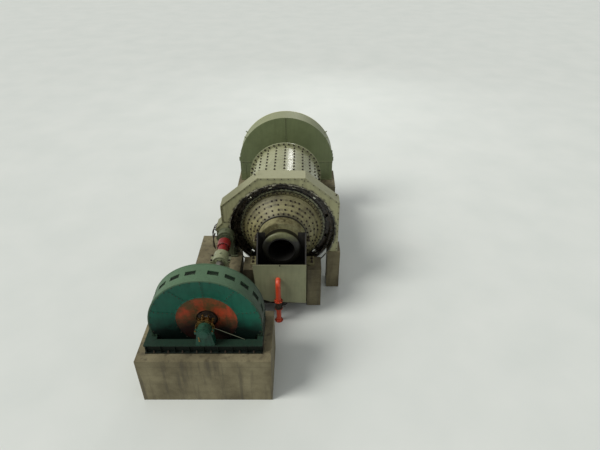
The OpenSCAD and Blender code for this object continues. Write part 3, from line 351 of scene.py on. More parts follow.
def grime_and_shade_below(material, high, low, color, strength, scale=2.5, axis="Z"):
    """A darkening, used for grime and for painted shade, that begins at one height and is full at a lower one, with a
    ragged edge, or so along X.
    """
    tree = material.node_tree
    where = add(tree, "ShaderNodeTexCoord").outputs["Object"]
    height = add(tree, "ShaderNodeSeparateXYZ", {"Vector": where}).outputs[axis]
    cloud = add(tree, "ShaderNodeTexNoise", {"Vector": where, "Scale": scale, "Detail": 7.0, "Roughness": 0.6})
    ragged = add(tree, "ShaderNodeMath", {0: cloud.outputs["Fac"], 1: high - low, 2: height}, operation="MULTIPLY_ADD")
    lifted = 0.5 * (high - low)
    band = add(tree, "ShaderNodeMapRange", {"Value": ragged.outputs[0], "From Min": high + lifted,
                                            "From Max": low + lifted, "To Max": strength})
    return cover_paint(material, band.outputs[0], color)


def turned_rings(material, centre, color, strength):
    """Rings of dirt round an axis along Y, broken up a little, on a piece that turns under drips."""
    tree = material.node_tree
    where, radius = radius_round(tree, centre)
    spread = add(tree, "ShaderNodeCombineXYZ", {"X": radius})
    squeezed = add(tree, "ShaderNodeVectorMath", {0: where, 1: (0.09, 0.25, 0.09)}, operation="MULTIPLY")
    mixed = add(tree, "ShaderNodeVectorMath", {0: spread.outputs[0], 1: squeezed.outputs[0]}, operation="ADD")
    rings = add(tree, "ShaderNodeTexNoise", {"Vector": mixed.outputs[0], "Scale": 11.0, "Detail": 7.0, "Roughness": 0.7})
    share = add(tree, "ShaderNodeMapRange", {"Value": rings.outputs["Fac"], "From Min": 0.46, "From Max": 0.66,
                                             "To Max": strength})
    return cover_paint(material, share.outputs[0], color)


def dirty_patches(material, color, strength, scale, start, full):
    """Clouds of settled dirt: noise above the start value begins to show them, and at full they are thickest."""
    tree = material.node_tree
    where = add(tree, "ShaderNodeTexCoord").outputs["Object"]
    cloud = add(tree, "ShaderNodeTexNoise", {"Vector": where, "Scale": scale, "Detail": 9.0, "Roughness": 0.62})
    share = add(tree, "ShaderNodeMapRange", {"Value": cloud.outputs["Fac"], "From Min": start, "From Max": full,
                                             "To Max": strength})
    return cover_paint(material, share.outputs[0], color)


dry_dust = linear(0.62, 0.60, 0.49)
dry_slurry = linear(0.38, 0.35, 0.25)
bare_rub = linear(0.33, 0.31, 0.26)
thrown_grease = linear(0.09, 0.08, 0.06)
cream_shell = weathered_paint("shell_cream_paint", linear(0.59, 0.60, 0.47), dry_dust, dry_slurry, 0.12, 0.28, 0.24,
                              bare_rub, 0.3)
gear_flange_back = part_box("shell")[0].y + 0.06
stain_and_shade_near_axis(cream_shell, mill, 1.84, 1.66, thrown_grease, 0.97, 11.0, gear_flange_back + 0.015)
finish_node("shell", cream_shell)


def black_oily_metal(name, color, gloss):
    """Dark bolts and nuts, oily, with a little rust in the hollows."""
    material, tree, output = empty_material(name)
    where = add(tree, "ShaderNodeTexCoord").outputs["Object"]
    patches = add(tree, "ShaderNodeTexNoise", {"Vector": where, "Scale": 30.0, "Detail": 6.0})
    ramp = add(tree, "ShaderNodeValToRGB", {"Fac": patches.outputs["Fac"]})
    ramp.color_ramp.elements[0].position = 0.35
    ramp.color_ramp.elements[0].color = color
    ramp.color_ramp.elements[1].position = 0.72
    ramp.color_ramp.elements[1].color = linear(0.26, 0.20, 0.15)
    rough = add(tree, "ShaderNodeMapRange", {"Value": patches.outputs["Fac"], "To Min": gloss, "To Max": gloss + 0.3})
    bump = add(tree, "ShaderNodeBump", {"Height": patches.outputs["Fac"], "Strength": 0.3, "Distance": 0.002})
    shader = add(tree, "ShaderNodeBsdfPrincipled", {"Base Color": ramp.outputs["Color"], "Metallic": 0.4,
                                                    "Roughness": rough.outputs[0], "Normal": bump.outputs[0]})
    tree.links.new(shader.outputs[0], output.inputs["Surface"])
    return material


def hex_nut(across, thick, washer_r, washer_t, stud):
    """Corners and faces of a washer, a chamfered hexagon nut and a stud end, standing on z = 0."""
    bm = bmesh.new()
    bmesh.ops.create_cone(bm, cap_ends=True, segments=16, radius1=washer_r, radius2=washer_r * 0.94,
                                   depth=washer_t, matrix=Matrix.Translation((0, 0, washer_t / 2)))
    corner = across / math.sqrt(3.0)
    bmesh.ops.create_cone(bm, cap_ends=True, segments=6, radius1=corner, radius2=corner, depth=thick * 0.8,
                          matrix=Matrix.Translation((0, 0, washer_t + thick * 0.4)))
    bmesh.ops.create_cone(bm, cap_ends=True, segments=6, radius1=corner, radius2=corner * 0.86, depth=thick * 0.2,
                          matrix=Matrix.Translation((0, 0, washer_t + thick * 0.9)))
    if stud > 0:
        bmesh.ops.create_cone(bm, cap_ends=True, segments=10, radius1=across * 0.29, radius2=across * 0.25,
                              depth=stud, matrix=Matrix.Translation((0, 0, washer_t + thick + stud / 2)))
    bm.verts.index_update()
    corners = [v.co.copy() for v in bm.verts]
    faces = [[v.index for v in f.verts] for f in bm.faces]
    bm.free()
    return corners, faces


def place_piece(name, corners, faces, material, body, slot, smooth=35.0):
    """Makes one piece from its corners and faces, and lets it ride on a body of the frame."""
    mesh = bpy.data.meshes.new(name)
    mesh.from_pydata(corners, [], faces)
    mesh.materials.append(material)
    mesh.update()
    mesh.shade_smooth()
    mesh.set_sharp_from_angle(angle=math.radians(smooth))
    piece = bpy.data.objects.new(name, mesh)
    bpy.context.scene.collection.objects.link(piece)
    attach(piece, body)
    return piece


def stamp(name, template, places, material, body, slot, smooth=35.0):
    """Joins a copy of the template at each place into one piece."""
    corners = []
    faces = []
    for place in places:
        start = len(corners)
        corners.extend(place @ corner for corner in template[0])
        faces.extend([start + i for i in face] for face in template[1])
    return place_piece(name, corners, faces, material, body, slot, smooth)


def standing(point, direction, spin=0.0):
    """A place at point, with its own +Z along direction."""
    turn = Vector(direction).to_track_quat("Z", "Y").to_matrix().to_4x4()
    return Matrix.Translation(point) @ turn @ Matrix.Rotation(spin, 4, "Z")


def round_axis(axis, radius, y, angle):
    """The point at an angle in degrees round an axis along Y, and the unit vector out to it."""
    out = Vector((math.cos(math.radians(angle)), 0.0, math.sin(math.radians(angle))))
    return Vector((axis.x, y, axis.z)) + radius * out, out


nut_black = black_oily_metal("liner_nut_black", linear(0.07, 0.065, 0.06), 0.35)
nut_grey = black_oily_metal("flange_nut_grey", linear(0.24, 0.22, 0.19), 0.45)
shell_low, shell_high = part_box("shell")
shell_r = 1.64
flange_r = shell_high.x
flange_t = 0.06
bolt_rows = 24
bolts_in_row = 14
row_margin = 0.23
first_row = 89.1
row_pitch = (shell_high.y - shell_low.y - 2 * row_margin) / (bolts_in_row - 1)
liner_nut = hex_nut(0.058, 0.034, 0.054, 0.010, 0.022)
liner_places = []
for row in range(bolt_rows):
    for count in range(bolts_in_row):
        y = shell_low.y + row_margin + count * row_pitch
        point, out = round_axis(mill, shell_r, y, first_row + row * 360 / bolt_rows)
        liner_places.append(standing(point, out, 0.7 * row + 1.3 * count))
stamp("shell_liner_nuts", liner_nut, liner_places, nut_black, "drum", "greased_steel")


def ring_of_nuts(axis, radius, y, count, direction, first=0.0):
    """Places for nuts in an even ring round an axis, all facing one way along Y."""
    return [standing(round_axis(axis, radius, y, first + k * 360 / count)[0], direction, k) for k in range(count)]


def weld_bead(axis, radius, y, size, steps=160):
    """Corners and faces of a low rounded weld bead that runs once round the drum."""
    section = [(-size, 0.0), (-0.6 * size, 0.55 * size), (0.0, 0.75 * size), (0.6 * size, 0.55 * size), (size, 0.0)]
    corners = []
    for step in range(steps):
        ripple = 1.0 + 0.12 * math.sin(step * 2.4)
        for along, rise in section:
            corners.append(round_axis(axis, radius + rise * ripple, y + along, step * 360 / steps)[0])
    faces = []
    for step in range(steps):
        here, ahead = step * 5, (step + 1) % steps * 5
        faces.extend([here + i, here + i + 1, ahead + i + 1, ahead + i] for i in range(4))
    return corners, faces


def joined(parts):
    """One list of corners and one of faces from several."""
    corners = []
    faces = []
    for part_corners, part_faces in parts:
        start = len(corners)
        corners.extend(part_corners)
        faces.extend([start + i for i in face] for face in part_faces)
    return corners, faces


strake = (shell_high.y - shell_low.y) / 3
beads = joined([weld_bead(mill, shell_r, shell_low.y + strake * k, 0.012) for k in (1, 2)])
place_piece("shell_welds", *beads, cream_shell, "drum", "cream_paint", 60)
flange_nut = hex_nut(0.060, 0.036, 0.044, 0.006, 0.030)
inside = ring_of_nuts(mill, 1.725, shell_high.y - flange_t, 44, (0, -1, 0), 2)
stamp("feed_flange_nuts", flange_nut, inside, nut_black, "drum", "greased_steel")


# Cast heads
# Conical steel castings with their trunnions, bolted to the shell's flanges and painted like it.
# Four rings of liner nuts stand on each cone, and the rim's nuts hold it to the flange.
# Near-black of wet slurry, also laid as painted shade below and inside the bell and the bore.
slurry_and_shade_black = linear(0.065, 0.062, 0.05)
cream_head = weathered_paint("head_cream_paint", linear(0.52, 0.50, 0.34), dry_dust, dry_slurry, 0.2, 0.42, 0.45,
                             bare_rub, 0.35)
turned_rings(cream_head, mill, linear(0.27, 0.25, 0.16), 0.62)
dirty_patches(cream_head, linear(0.28, 0.25, 0.16), 0.6, 2.6, 0.52, 0.72)
# The two darker rings at the hub are painted shade of the gap behind the bearing cap.
stain_and_shade_near_axis(cream_head, mill, 0.98, 1.12, linear(0.31, 0.29, 0.19), 0.6, 4.0)
stain_and_shade_near_axis(cream_head, mill, 0.985, 1.015, linear(0.14, 0.13, 0.09), 0.9, 6.0)
# Near-black inside the trunnion's bore: wet slurry, made darker as painted shade of the bore.
stain_and_shade_near_axis(cream_head, mill, 0.56, 0.60, slurry_and_shade_black, 1.0, 6.0)
stain_and_shade_near_axis(cream_head, mill, 1.80, 1.60, thrown_grease, 0.97, 11.0)
for name in ("discharge_head", "feed_head"):
    finish_node(name, cream_head)


def smear_between_nuts(material, centre, ring, half, color, strength):
    """Dark oil that has crept from nut to nut along one circle of a turning head."""
    tree = material.node_tree
    where, radius = radius_round(tree, centre)
    ripple = add(tree, "ShaderNodeTexNoise", {"Vector": where, "Scale": 9.0, "Detail": 6.0})
    wavy = add(tree, "ShaderNodeMath", {0: ripple.outputs["Fac"], 1: 2.0 * half, 2: radius}, operation="MULTIPLY_ADD")
    off = add(tree, "ShaderNodeMath", {0: wavy.outputs[0], 1: ring + half}, operation="SUBTRACT")
    apart = add(tree, "ShaderNodeMath", {0: off.outputs[0]}, operation="ABSOLUTE")
    near_ring = add(tree, "ShaderNodeMapRange", {"Value": apart.outputs[0], "From Min": half, "From Max": 0.2 * half,
                                                 "To Max": strength})
    cloud = add(tree, "ShaderNodeTexNoise", {"Vector": where, "Scale": 3.1, "Detail": 8.0, "Roughness": 0.65})
    patchy = add(tree, "ShaderNodeMapRange", {"Value": cloud.outputs["Fac"], "From Min": 0.44, "From Max": 0.56})
    share = add(tree, "ShaderNodeMath", {0: near_ring.outputs[0], 1: patchy.outputs[0]}, operation="MULTIPLY")
    return cover_paint(material, share.outputs[0], color)


for ring, half in ((1.46, 0.050), (1.32, 0.056), (1.17, 0.060), (1.04, 0.055)):
    smear_between_nuts(cream_head, mill, ring, half, linear(0.20, 0.18, 0.12), 0.7)
shoulder_r = 1.6
hub_r = 0.98
cone_len = 0.57
shoulder_y = 0.17
cone_slope = cone_len / (shoulder_r - hub_r)


def cone_places(end, radius, angles):
    """Places for nuts on the cone of the head at one end (-1 discharge, 1 feed)."""
    face_y = shell_low.y if end < 0 else shell_high.y
    y = face_y + end * (shoulder_y + (shoulder_r - radius) * cone_slope)
    places = []
    for angle in angles:
        point, out = round_axis(mill, radius, y, angle)
        normal = out * cone_len + Vector((0, end * (shoulder_r - hub_r), 0))
        places.append(standing(point, normal.normalized(), angle))
    return places


triples = [83.8 + 15 + 30 * k + 7.3 * s for k in range(12) for s in (-1, 0, 1)]
rings = ((1.46, triples), (1.32, [90 + 180 / 28 + k * 360 / 28 for k in range(28)]),
         (1.17, [90 + 180 / 28 + k * 360 / 28 for k in range(28)]), (1.04, [86.5 + k * 11.25 for k in range(32)]))
head_nut = hex_nut(0.050, 0.030, 0.042, 0.008, 0.018)
head_places = [place for end in (-1, 1) for radius, angles in rings for place in cone_places(end, radius, angles)]
stamp("head_liner_nuts", head_nut, head_places, nut_black, "drum", "greased_steel")
rim_nut = hex_nut(0.046, 0.028, 0.034, 0.005, 0.020)
rim_places = ring_of_nuts(mill, 1.653, shell_low.y - 0.08, 60, (0, -1, 0), 1)
rim_places += ring_of_nuts(mill, 1.653, shell_high.y + 0.08, 60, (0, 1, 0), 1)
stamp("head_rim_nuts", rim_nut, rim_places, nut_grey, "drum", "cream_paint")


# Girth gear
# A cast steel gear in two halves, bolted to the shell's flange and buried in black open-gear grease.
# The grease lies on it in thick, wet lumps that the pinion throws against the guard.
def black_grease(name, lumps):
    """Wet black grease over dark cast steel."""
    material, tree, output = empty_material(name)
    where = add(tree, "ShaderNodeTexCoord").outputs["Object"]
    thick = add(tree, "ShaderNodeTexNoise", {"Vector": where, "Scale": 6.0, "Detail": 7.0, "Roughness": 0.6})
    drops = add(tree, "ShaderNodeTexVoronoi", {"Vector": where, "Scale": 21.0}, feature="SMOOTH_F1")
    ramp = add(tree, "ShaderNodeValToRGB", {"Fac": thick.outputs["Fac"]})
    ramp.color_ramp.elements[0].position = 0.38
    ramp.color_ramp.elements[0].color = linear(0.06, 0.055, 0.045)
    ramp.color_ramp.elements[1].position = 0.75
    ramp.color_ramp.elements[1].color = linear(0.27, 0.23, 0.17)
    rough = add(tree, "ShaderNodeMapRange", {"Value": thick.outputs["Fac"], "From Min": 0.35, "From Max": 0.65,
                                             "To Min": 0.16, "To Max": 0.55})
    relief = add(tree, "ShaderNodeMath", {0: drops.outputs["Distance"], 1: thick.outputs["Fac"]}, operation="SUBTRACT")
    bump = add(tree, "ShaderNodeBump", {"Height": relief.outputs[0], "Strength": 0.8, "Distance": lumps})
    shader = add(tree, "ShaderNodeBsdfPrincipled", {"Base Color": ramp.outputs["Color"], "Roughness": rough.outputs[0],
                                                    "Normal": bump.outputs[0], "Coat Weight": 0.35,
                                                    "Coat Roughness": 0.12})
    tree.links.new(shader.outputs[0], output.inputs["Surface"])
    return material


grease = black_grease("girth_gear_grease", 0.02)
finish_node("girth_gear", grease)
finish_node("pinion", grease)
gear_low, gear_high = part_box("girth_gear")
gear_rim_in = 2.0
gear_root = 2.08


def grease_lumps(name, y, facing, inner, outer, seed):
    """A lumpy ring of grease on a flat face of the gear, thick at its middle and feathered at its edges."""
    dice = random.Random(seed)
    steps, rows = 360, 7
    waves = [(dice.randint(7, 90), dice.uniform(0, 6.28), dice.uniform(0.2, 1.0)) for _ in range(14)]
    corners = []
    for step in range(steps):
        angle = step * 360 / steps
        lump = sum(size * math.sin(wave * math.radians(angle) + phase) for wave, phase, size in waves) / 5
        for row in range(rows):
            share = row / (rows - 1)
            edge = math.sin(math.pi * share) ** 0.7
            wobble = math.sin(17 * math.radians(angle) + 2 * row) * 0.006
            rise = edge * max(0.0, 0.011 + 0.010 * lump + 0.004 * math.sin(53 * math.radians(angle) + 3 * row))
            point, _ = round_axis(mill, inner + (outer - inner) * share + wobble * edge, y + facing * (rise + 0.0005),
                                  angle)
            corners.append(point)
    faces = []
    for step in range(steps):
        here, ahead = step * rows, (step + 1) % steps * rows
        for row in range(rows - 1):
            face = [here + row, here + row + 1, ahead + row + 1, ahead + row]
            faces.append(face if facing > 0 else face[::-1])
    return place_piece(name, corners, faces, grease, "drum", "greased_steel", 80)


grease_lumps("gear_rim_grease", gear_low.y, -1, gear_rim_in + 0.002, gear_root, 3)
web_front = shell_low.y + flange_t
grease_lumps("gear_web_grease", web_front, -1, flange_r + 0.01, 1.845, 5)
web_nut = hex_nut(0.062, 0.038, 0.046, 0.006, 0.026)
stamp("gear_web_nuts", web_nut, ring_of_nuts(mill, 1.718, web_front + 0.06, 40, (0, 1, 0)), nut_black, "drum",
      "greased_steel")


# Gear guard
# Cream sheet-steel casing in bolted sections round the gear: front and back plates, roof and sides.
# Grease has been thrown out round its front opening and has run down the plates.
cream_guard = weathered_paint("guard_cream_paint", linear(0.56, 0.56, 0.43), linear(0.61, 0.61, 0.49), dry_slurry,
                              0.85, 0.30, 0.42, bare_rub, 0.45)
stained_guard = weathered_paint("guard_plate_paint", linear(0.60, 0.60, 0.45), dry_dust, dry_slurry, 0.5, 0.4, 0.45,
                                bare_rub, 0.45)
stain_and_shade_near_axis(stained_guard, mill, 2.13, 2.33, thrown_grease, 0.97, 5.5)
grime_and_shade_below(cream_guard, -0.7, -1.9, linear(0.38, 0.38, 0.26), 0.8, 2.5, "X")
for name in ("guard_roof", "guard_left_side", "guard_right_side"):
    finish_node(name, cream_guard)
for name in ("guard_front", "guard_back"):
    finish_node(name, stained_guard)
front_low, front_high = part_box("guard_front")
back_low, back_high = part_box("guard_back")
guard_low, guard_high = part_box("guard_roof")


def flat_bar(start, end, width, thick, up):
    """Corners and faces of a flat bar with chamfered long edges, from start to end, standing on its wide side."""
    along = (end - start).normalized()
    up = Vector(up).normalized()
    side = along.cross(up).normalized()
    chamfer = min(width, thick) * 0.2
    half = width / 2
    section = ((-half, 0), (-half, thick - chamfer), (chamfer - half, thick), (half - chamfer, thick),
               (half, thick - chamfer), (half, 0))
    corners = [base + side * s + up * h for base in (start, end) for s, h in section]
    faces = [[i, (i + 1) % 6, (i + 1) % 6 + 6, i + 6] for i in range(6)]
    faces.append([5, 4, 3, 2, 1, 0])
    faces.append([6, 7, 8, 9, 10, 11])
    return corners, faces


outline = [Vector(p) for p in ((front_low.x, 0, front_low.z), (front_low.x, 0, 3.14), (-2.5, 0, 3.4), (-2.5, 0, 4.2),
                               (-0.94, 0, front_high.z), (0.94, 0, front_high.z), (front_high.x, 0, 4.33),
                               (front_high.x, 0, front_low.z))]
bars = []
bolt_places = []
edge_in = 0.045
for first, second in zip(outline, outline[1:]):
    along = (second - first).normalized()
    inward = Vector((along.z, 0, -along.x))
    for y, facing in ((front_low.y, -1), (back_high.y, 1)):
        start = first + inward * edge_in + Vector((0, y, 0)) + along * 0.01
        end = second + inward * edge_in + Vector((0, y, 0)) - along * 0.01
        bars.append(flat_bar(start, end, 0.07, 0.010, (0, facing, 0)))
        count = max(2, round((end - start).length / 0.28))
        for k in range(count):
            point = start.lerp(end, (k + 0.5) / count) + Vector((0, facing * 0.010, 0))
            bolt_places.append(standing(point, (0, facing, 0), k))
panel_seam = ((Vector((0.93, front_low.y, 5.43)), Vector((0.80, front_low.y, 5.10))),
              (Vector((-2.45, front_low.y, 3.42)), Vector((-2.14, front_low.y, 3.46))))
for start, end in panel_seam:
    bars.append(flat_bar(start, end, 0.05, 0.006, (0, -1, 0)))
    bolt_places += [standing(start.lerp(end, share) - Vector((0, 0.006, 0)), (0, -1, 0)) for share in (0.25, 0.75)]
place_piece("guard_edge_bars", *joined(bars), cream_guard, "root", "cream_paint")
guard_bolt = hex_nut(0.030, 0.016, 0.022, 0.004, 0.010)
stamp("guard_edge_bolts", guard_bolt, bolt_places, nut_grey, "root", "cream_paint")


def angle_ring(axis, inner, outer, y, facing, thick, lip, steps=144):
    """Corners and faces of an angle ring: a flat flange against a plate and a lip along its inner edge."""
    section = ((inner, 0.0), (outer, 0.0), (outer, thick), (inner + thick, thick), (inner + thick, lip), (inner, lip))
    corners = [round_axis(axis, r, y + facing * h, k * 360 / steps)[0] for k in range(steps) for r, h in section]
    faces = []
    for k in range(steps):
        here, ahead = k * 6, (k + 1) % steps * 6
        for i in range(6):
            face = [here + i, here + (i + 1) % 6, ahead + (i + 1) % 6, ahead + i]
            faces.append(face if facing > 0 else face[::-1])
    return corners, faces


def spattered_edge(name):
    """Pale paint that thrown grease hides in patches."""
    material = weathered_paint(name, linear(0.78, 0.77, 0.68), dry_dust, dry_slurry, 0.3, 0.2, 0.3, bare_rub, 0.3)
    return stain_and_shade_near_axis(material, mill, 2.13, 2.28, thrown_grease, 1.0, 2.6)


seal_paint = spattered_edge("guard_seal_paint")
front_seal = angle_ring(mill, 2.153, 2.205, front_low.y, -1, 0.008, 0.045)
place_piece("guard_front_seal_ring", *front_seal, seal_paint, "root", "cream_paint")
back_seal = angle_ring(mill, 1.835, 1.89, back_high.y, 1, 0.008, 0.04)
place_piece("guard_back_seal_ring", *back_seal, cream_guard, "root", "cream_paint")
stamp("guard_seal_bolts", guard_bolt, ring_of_nuts(mill, 2.185, front_low.y - 0.008, 48, (0, -1, 0), 3), nut_grey,
      "root", "cream_paint")


def slope_point(a, b, share, y):
    """A point on the slanting roof between two corners of the guard's outline."""
    return a.lerp(b, share) + Vector((0, y, 0))


def dome_cover(point, direction, radius, rise, steps=28):
    """Corners and faces of a round pressed cover with a flat rim."""
    place = standing(point, direction)
    section = ((radius * 1.25, 0.0), (radius * 1.25, rise * 0.3), (radius * 1.02, rise * 0.35), (radius, rise * 0.8),
               (radius * 0.8, rise), (radius * 0.35, rise * 1.05))
    rows = len(section)
    corners = [place @ Vector((r * math.cos(2 * math.pi * k / steps), r * math.sin(2 * math.pi * k / steps), h))
               for k in range(steps) for r, h in section]
    faces = []
    for k in range(steps):
        here, ahead = k * rows, (k + 1) % steps * rows
        faces.extend([here + i, ahead + i, ahead + i + 1, here + i + 1] for i in range(rows - 1))
    faces.append([k * rows + rows - 1 for k in range(steps)])
    return corners, faces


right_slope = (outline[5], outline[6])
left_slope = (outline[3], outline[4])
slope_normal_right = Vector((0.64, 0, 0.78)).normalized()
cover_place = Vector((0.84, 0.95, guard_high.z - 0.034))
place_piece("guard_inspection_cover", *dome_cover(cover_place, (0, 0, 1), 0.06, 0.03), cream_guard, "root",
            "cream_paint")


def lifting_lug(point, along, up, width, height, thick, steps=10):
    """Corners and faces of a plate lug with a rounded top and a bored eye."""
    along = Vector(along).normalized()
    up = Vector(up).normalized()
    side = along.cross(up).normalized()
    outer = [(-width / 2, 0.0)]
    outer += [(-width / 2 * math.cos(math.pi * k / steps), height - width / 2 + width / 2 * math.sin(math.pi * k / steps))
              for k in range(steps + 1)]
    outer.append((width / 2, 0.0))
    hole_r = width * 0.22
    count = len(outer)
    inner = []
    for a, h in outer:
        angle = math.atan2(h - (height - width / 2), a)
        inner.append((hole_r * math.cos(angle), height - width / 2 + hole_r * math.sin(angle)))
    corners = []
    for offset in (-thick / 2, thick / 2):
        corners += [point + along * a + up * h + side * offset for a, h in outer]
        corners += [point + along * a + up * h + side * offset for a, h in inner]
    faces = []
    for i in range(count):
        j = (i + 1) % count
        faces.append([i, j, count + j, count + i])
        faces.append([2 * count + j, 2 * count + i, 3 * count + i, 3 * count + j])
        faces.append([j, i, 2 * count + i, 2 * count + j])
        faces.append([count + i, count + j, 3 * count + j, 3 * count + i])
    return corners, faces


lug_y = guard_low.y + 0.42
lugs = [lifting_lug(slope_point(*left_slope, 0.93, lug_y), (0, 1, 0), (-0.63, 0, 0.78), 0.09, 0.085, 0.02),
        lifting_lug(slope_point(*right_slope, 0.90, lug_y), (0, 1, 0), slope_normal_right, 0.09, 0.085, 0.02)]
place_piece("guard_lifting_lugs", *joined(lugs), nut_grey, "root", "cream_paint")


# Grease spray lines
# A drilled block with screwed fittings sends grease to nozzles inside the guard, beside the pinion.
# Black steel tubes climb to it from the concrete, held by one bracket.
def tube(points, radius, steps=12):
    """Corners and faces of a round tube along a row of points, closed at both ends."""
    corners = []
    for i, point in enumerate(points):
        ahead = points[min(i + 1, len(points) - 1)] - points[max(i - 1, 0)]
        place = standing(point, ahead.normalized())
        corners += [place @ Vector((radius * math.cos(2 * math.pi * k / steps), radius * math.sin(2 * math.pi * k / steps),
                                    0)) for k in range(steps)]
    faces = []
    for i in range(len(points) - 1):
        for k in range(steps):
            j = (k + 1) % steps
            faces.append([i * steps + k, i * steps + j, (i + 1) * steps + j, (i + 1) * steps + k])
    faces.append(list(range(steps))[::-1])
    faces.append([(len(points) - 1) * steps + k for k in range(steps)])
    return corners, faces


tube_black = black_oily_metal("spray_tube_black", linear(0.06, 0.06, 0.05), 0.4)
side_low, side_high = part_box("guard_left_side")
spray_z = 2.98
spray_ys = [side_low.y + 0.14 + 0.12 * k for k in range(4)]
spray_block = [flat_bar(Vector((side_low.x, spray_ys[0] - 0.07, spray_z)), Vector((side_low.x, spray_ys[-1] + 0.07, spray_z)),
                        0.10, 0.06, (-1, 0, 0))]
spray_tubes = []
for k, y in enumerate(spray_ys):
    spray_block.append(tube([Vector((side_low.x - 0.05 - 0.02 * i, y, spray_z)) for i in range(4)], 0.022, 6))
    out = 0.11 + 0.035 * (k % 2)
    drop = 0.30 + 0.05 * k
    bend = [Vector((side_low.x - 0.06 - (out - 0.06 + 0.10) * math.sin(t), y, spray_z - drop * (1 - math.cos(t))))
            for t in [math.radians(15 * i) for i in range(7)]]
    ground = Vector((side_low.x - 0.16 - 0.05 * k, y - 0.05 * k, side_low.z - 0.01))
    spray_tubes.append(tube(bend + [bend[-1].lerp(ground, share) for share in (0.25, 0.5, 0.75, 1.0)], 0.013, 8))
bracket_z = 2.50
arm_y = (spray_ys[1] + spray_ys[2]) / 2 - 0.03
spray_block.append(flat_bar(Vector((side_low.x, arm_y, bracket_z)), Vector((side_low.x - 0.21, arm_y, bracket_z)),
                            0.04, 0.006, (0, 0, 1)))
spray_block.append(flat_bar(Vector((side_low.x - 0.19, spray_ys[0] - 0.10, bracket_z + 0.006)),
                            Vector((side_low.x - 0.19, spray_ys[-1] + 0.03, bracket_z + 0.006)), 0.05, 0.006, (0, 0, 1)))
place_piece("spray_block", *joined(spray_block), nut_grey, "root", "cream_paint")
place_piece("spray_tubes", *joined(spray_tubes), tube_black, "root", "greased_steel")


# Main bearings
# Cast housings in two halves round each trunnion, bolted at the ears and bolted down to their piers.
# They are painted cream, warmer and browner on top where oil mist has caught the dust.
cream_bearing = weathered_paint("bearing_cream_paint", linear(0.52, 0.51, 0.37), linear(0.52, 0.49, 0.35),
                                linear(0.33, 0.28, 0.16), 0.3, 0.65, 0.45, bare_rub, 0.5)
dirty_patches(cream_bearing, linear(0.27, 0.24, 0.13), 0.8, 2.1, 0.42, 0.62)
dirty_patches(cream_bearing, linear(0.62, 0.62, 0.50), 0.5, 7.0, 0.58, 0.7)
bearing_nut = hex_nut(0.085, 0.055, 0.062, 0.008, 0.05)
sole_nut = hex_nut(0.075, 0.048, 0.056, 0.008, 0.07)
main_nuts = []
cap_parts = []
for end, base, cap in ((-1, "discharge_bearing_base", "discharge_bearing_cap"),
                       (1, "feed_bearing_base", "feed_bearing_cap")):
    for name in (base, cap):
        finish_node(name, cream_bearing)
    cap_low, cap_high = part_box(cap)
    base_low, base_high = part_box(base)
    middle = (cap_low.y + cap_high.y) / 2
    for side in (-1, 1):
        for y in (middle - 0.12, middle + 0.12):
            main_nuts.append(standing(Vector((side * (cap_high.x - 0.085), y, mill.z + 0.09)), (0, 0, 1), y))
            main_nuts.append(standing(Vector((side * (base_high.x - 0.10), y, base_low.z + 0.07)), (0, 0, 1), y))
    for y, facing in ((cap_low.y, -1), (cap_high.y, 1)):
        cap_parts.append(angle_ring(mill, 0.752, 0.845, y, facing, 0.012, 0.02))
    cap_parts.append(dome_cover(Vector((0.0, middle, mill.z + 0.975)), (0, 0, 1), 0.11, 0.04))
stamp("main_bearing_nuts", bearing_nut, main_nuts, nut_grey, "root", "cream_paint")
place_piece("main_bearing_seals", *joined(cap_parts), cream_bearing, "root", "cream_paint")


# Discharge bell
# The cast ring on the end of the discharge trunnion that throws the slurry clear into the box.
# Cream on top, it is near-black below and inside: wet slurry, together with painted shade from the box below and in the
# bore.
bell_paint = weathered_paint("bell_cream_paint", linear(0.37, 0.38, 0.25), linear(0.42, 0.42, 0.30),
                             linear(0.24, 0.22, 0.15), 0.4, 0.5, 0.4, bare_rub, 0.4)
# Near-black towards the bottom and inside: wet slurry and painted shade.
grime_and_shade_below(bell_paint, mill.z + 0.66, mill.z + 0.38, slurry_and_shade_black, 0.97, 3.0)
stain_and_shade_near_axis(bell_paint, mill, 0.56, 0.59, slurry_and_shade_black, 1.0, 6.0)
finish_node("discharge_bell", bell_paint)


# Discharge box
# An open welded steel box, black with slurry inside, that catches the slurry below the bell.
# Its front plate is painted a pale grey-green, with a bolt at the middle of its top edge.
def slurry_black(name):
    """Wet black steel with dried grey crusts."""
    material, tree, output = empty_material(name)
    where = add(tree, "ShaderNodeTexCoord").outputs["Object"]
    crust = add(tree, "ShaderNodeTexNoise", {"Vector": where, "Scale": 3.2, "Detail": 9.0, "Roughness": 0.7})
    ramp = add(tree, "ShaderNodeValToRGB", {"Fac": crust.outputs["Fac"]})
    ramp.color_ramp.elements[0].position = 0.45
    ramp.color_ramp.elements[0].color = linear(0.07, 0.063, 0.05)
    ramp.color_ramp.elements[1].position = 0.8
    ramp.color_ramp.elements[1].color = linear(0.20, 0.18, 0.14)
    rough = add(tree, "ShaderNodeMapRange", {"Value": crust.outputs["Fac"], "To Min": 0.3, "To Max": 0.9})
    bump = add(tree, "ShaderNodeBump", {"Height": crust.outputs["Fac"], "Strength": 0.6, "Distance": 0.01})
    shader = add(tree, "ShaderNodeBsdfPrincipled", {"Base Color": ramp.outputs["Color"], "Roughness": rough.outputs[0],
                                                    "Normal": bump.outputs[0]})
    tree.links.new(shader.outputs[0], output.inputs["Surface"])
    return material


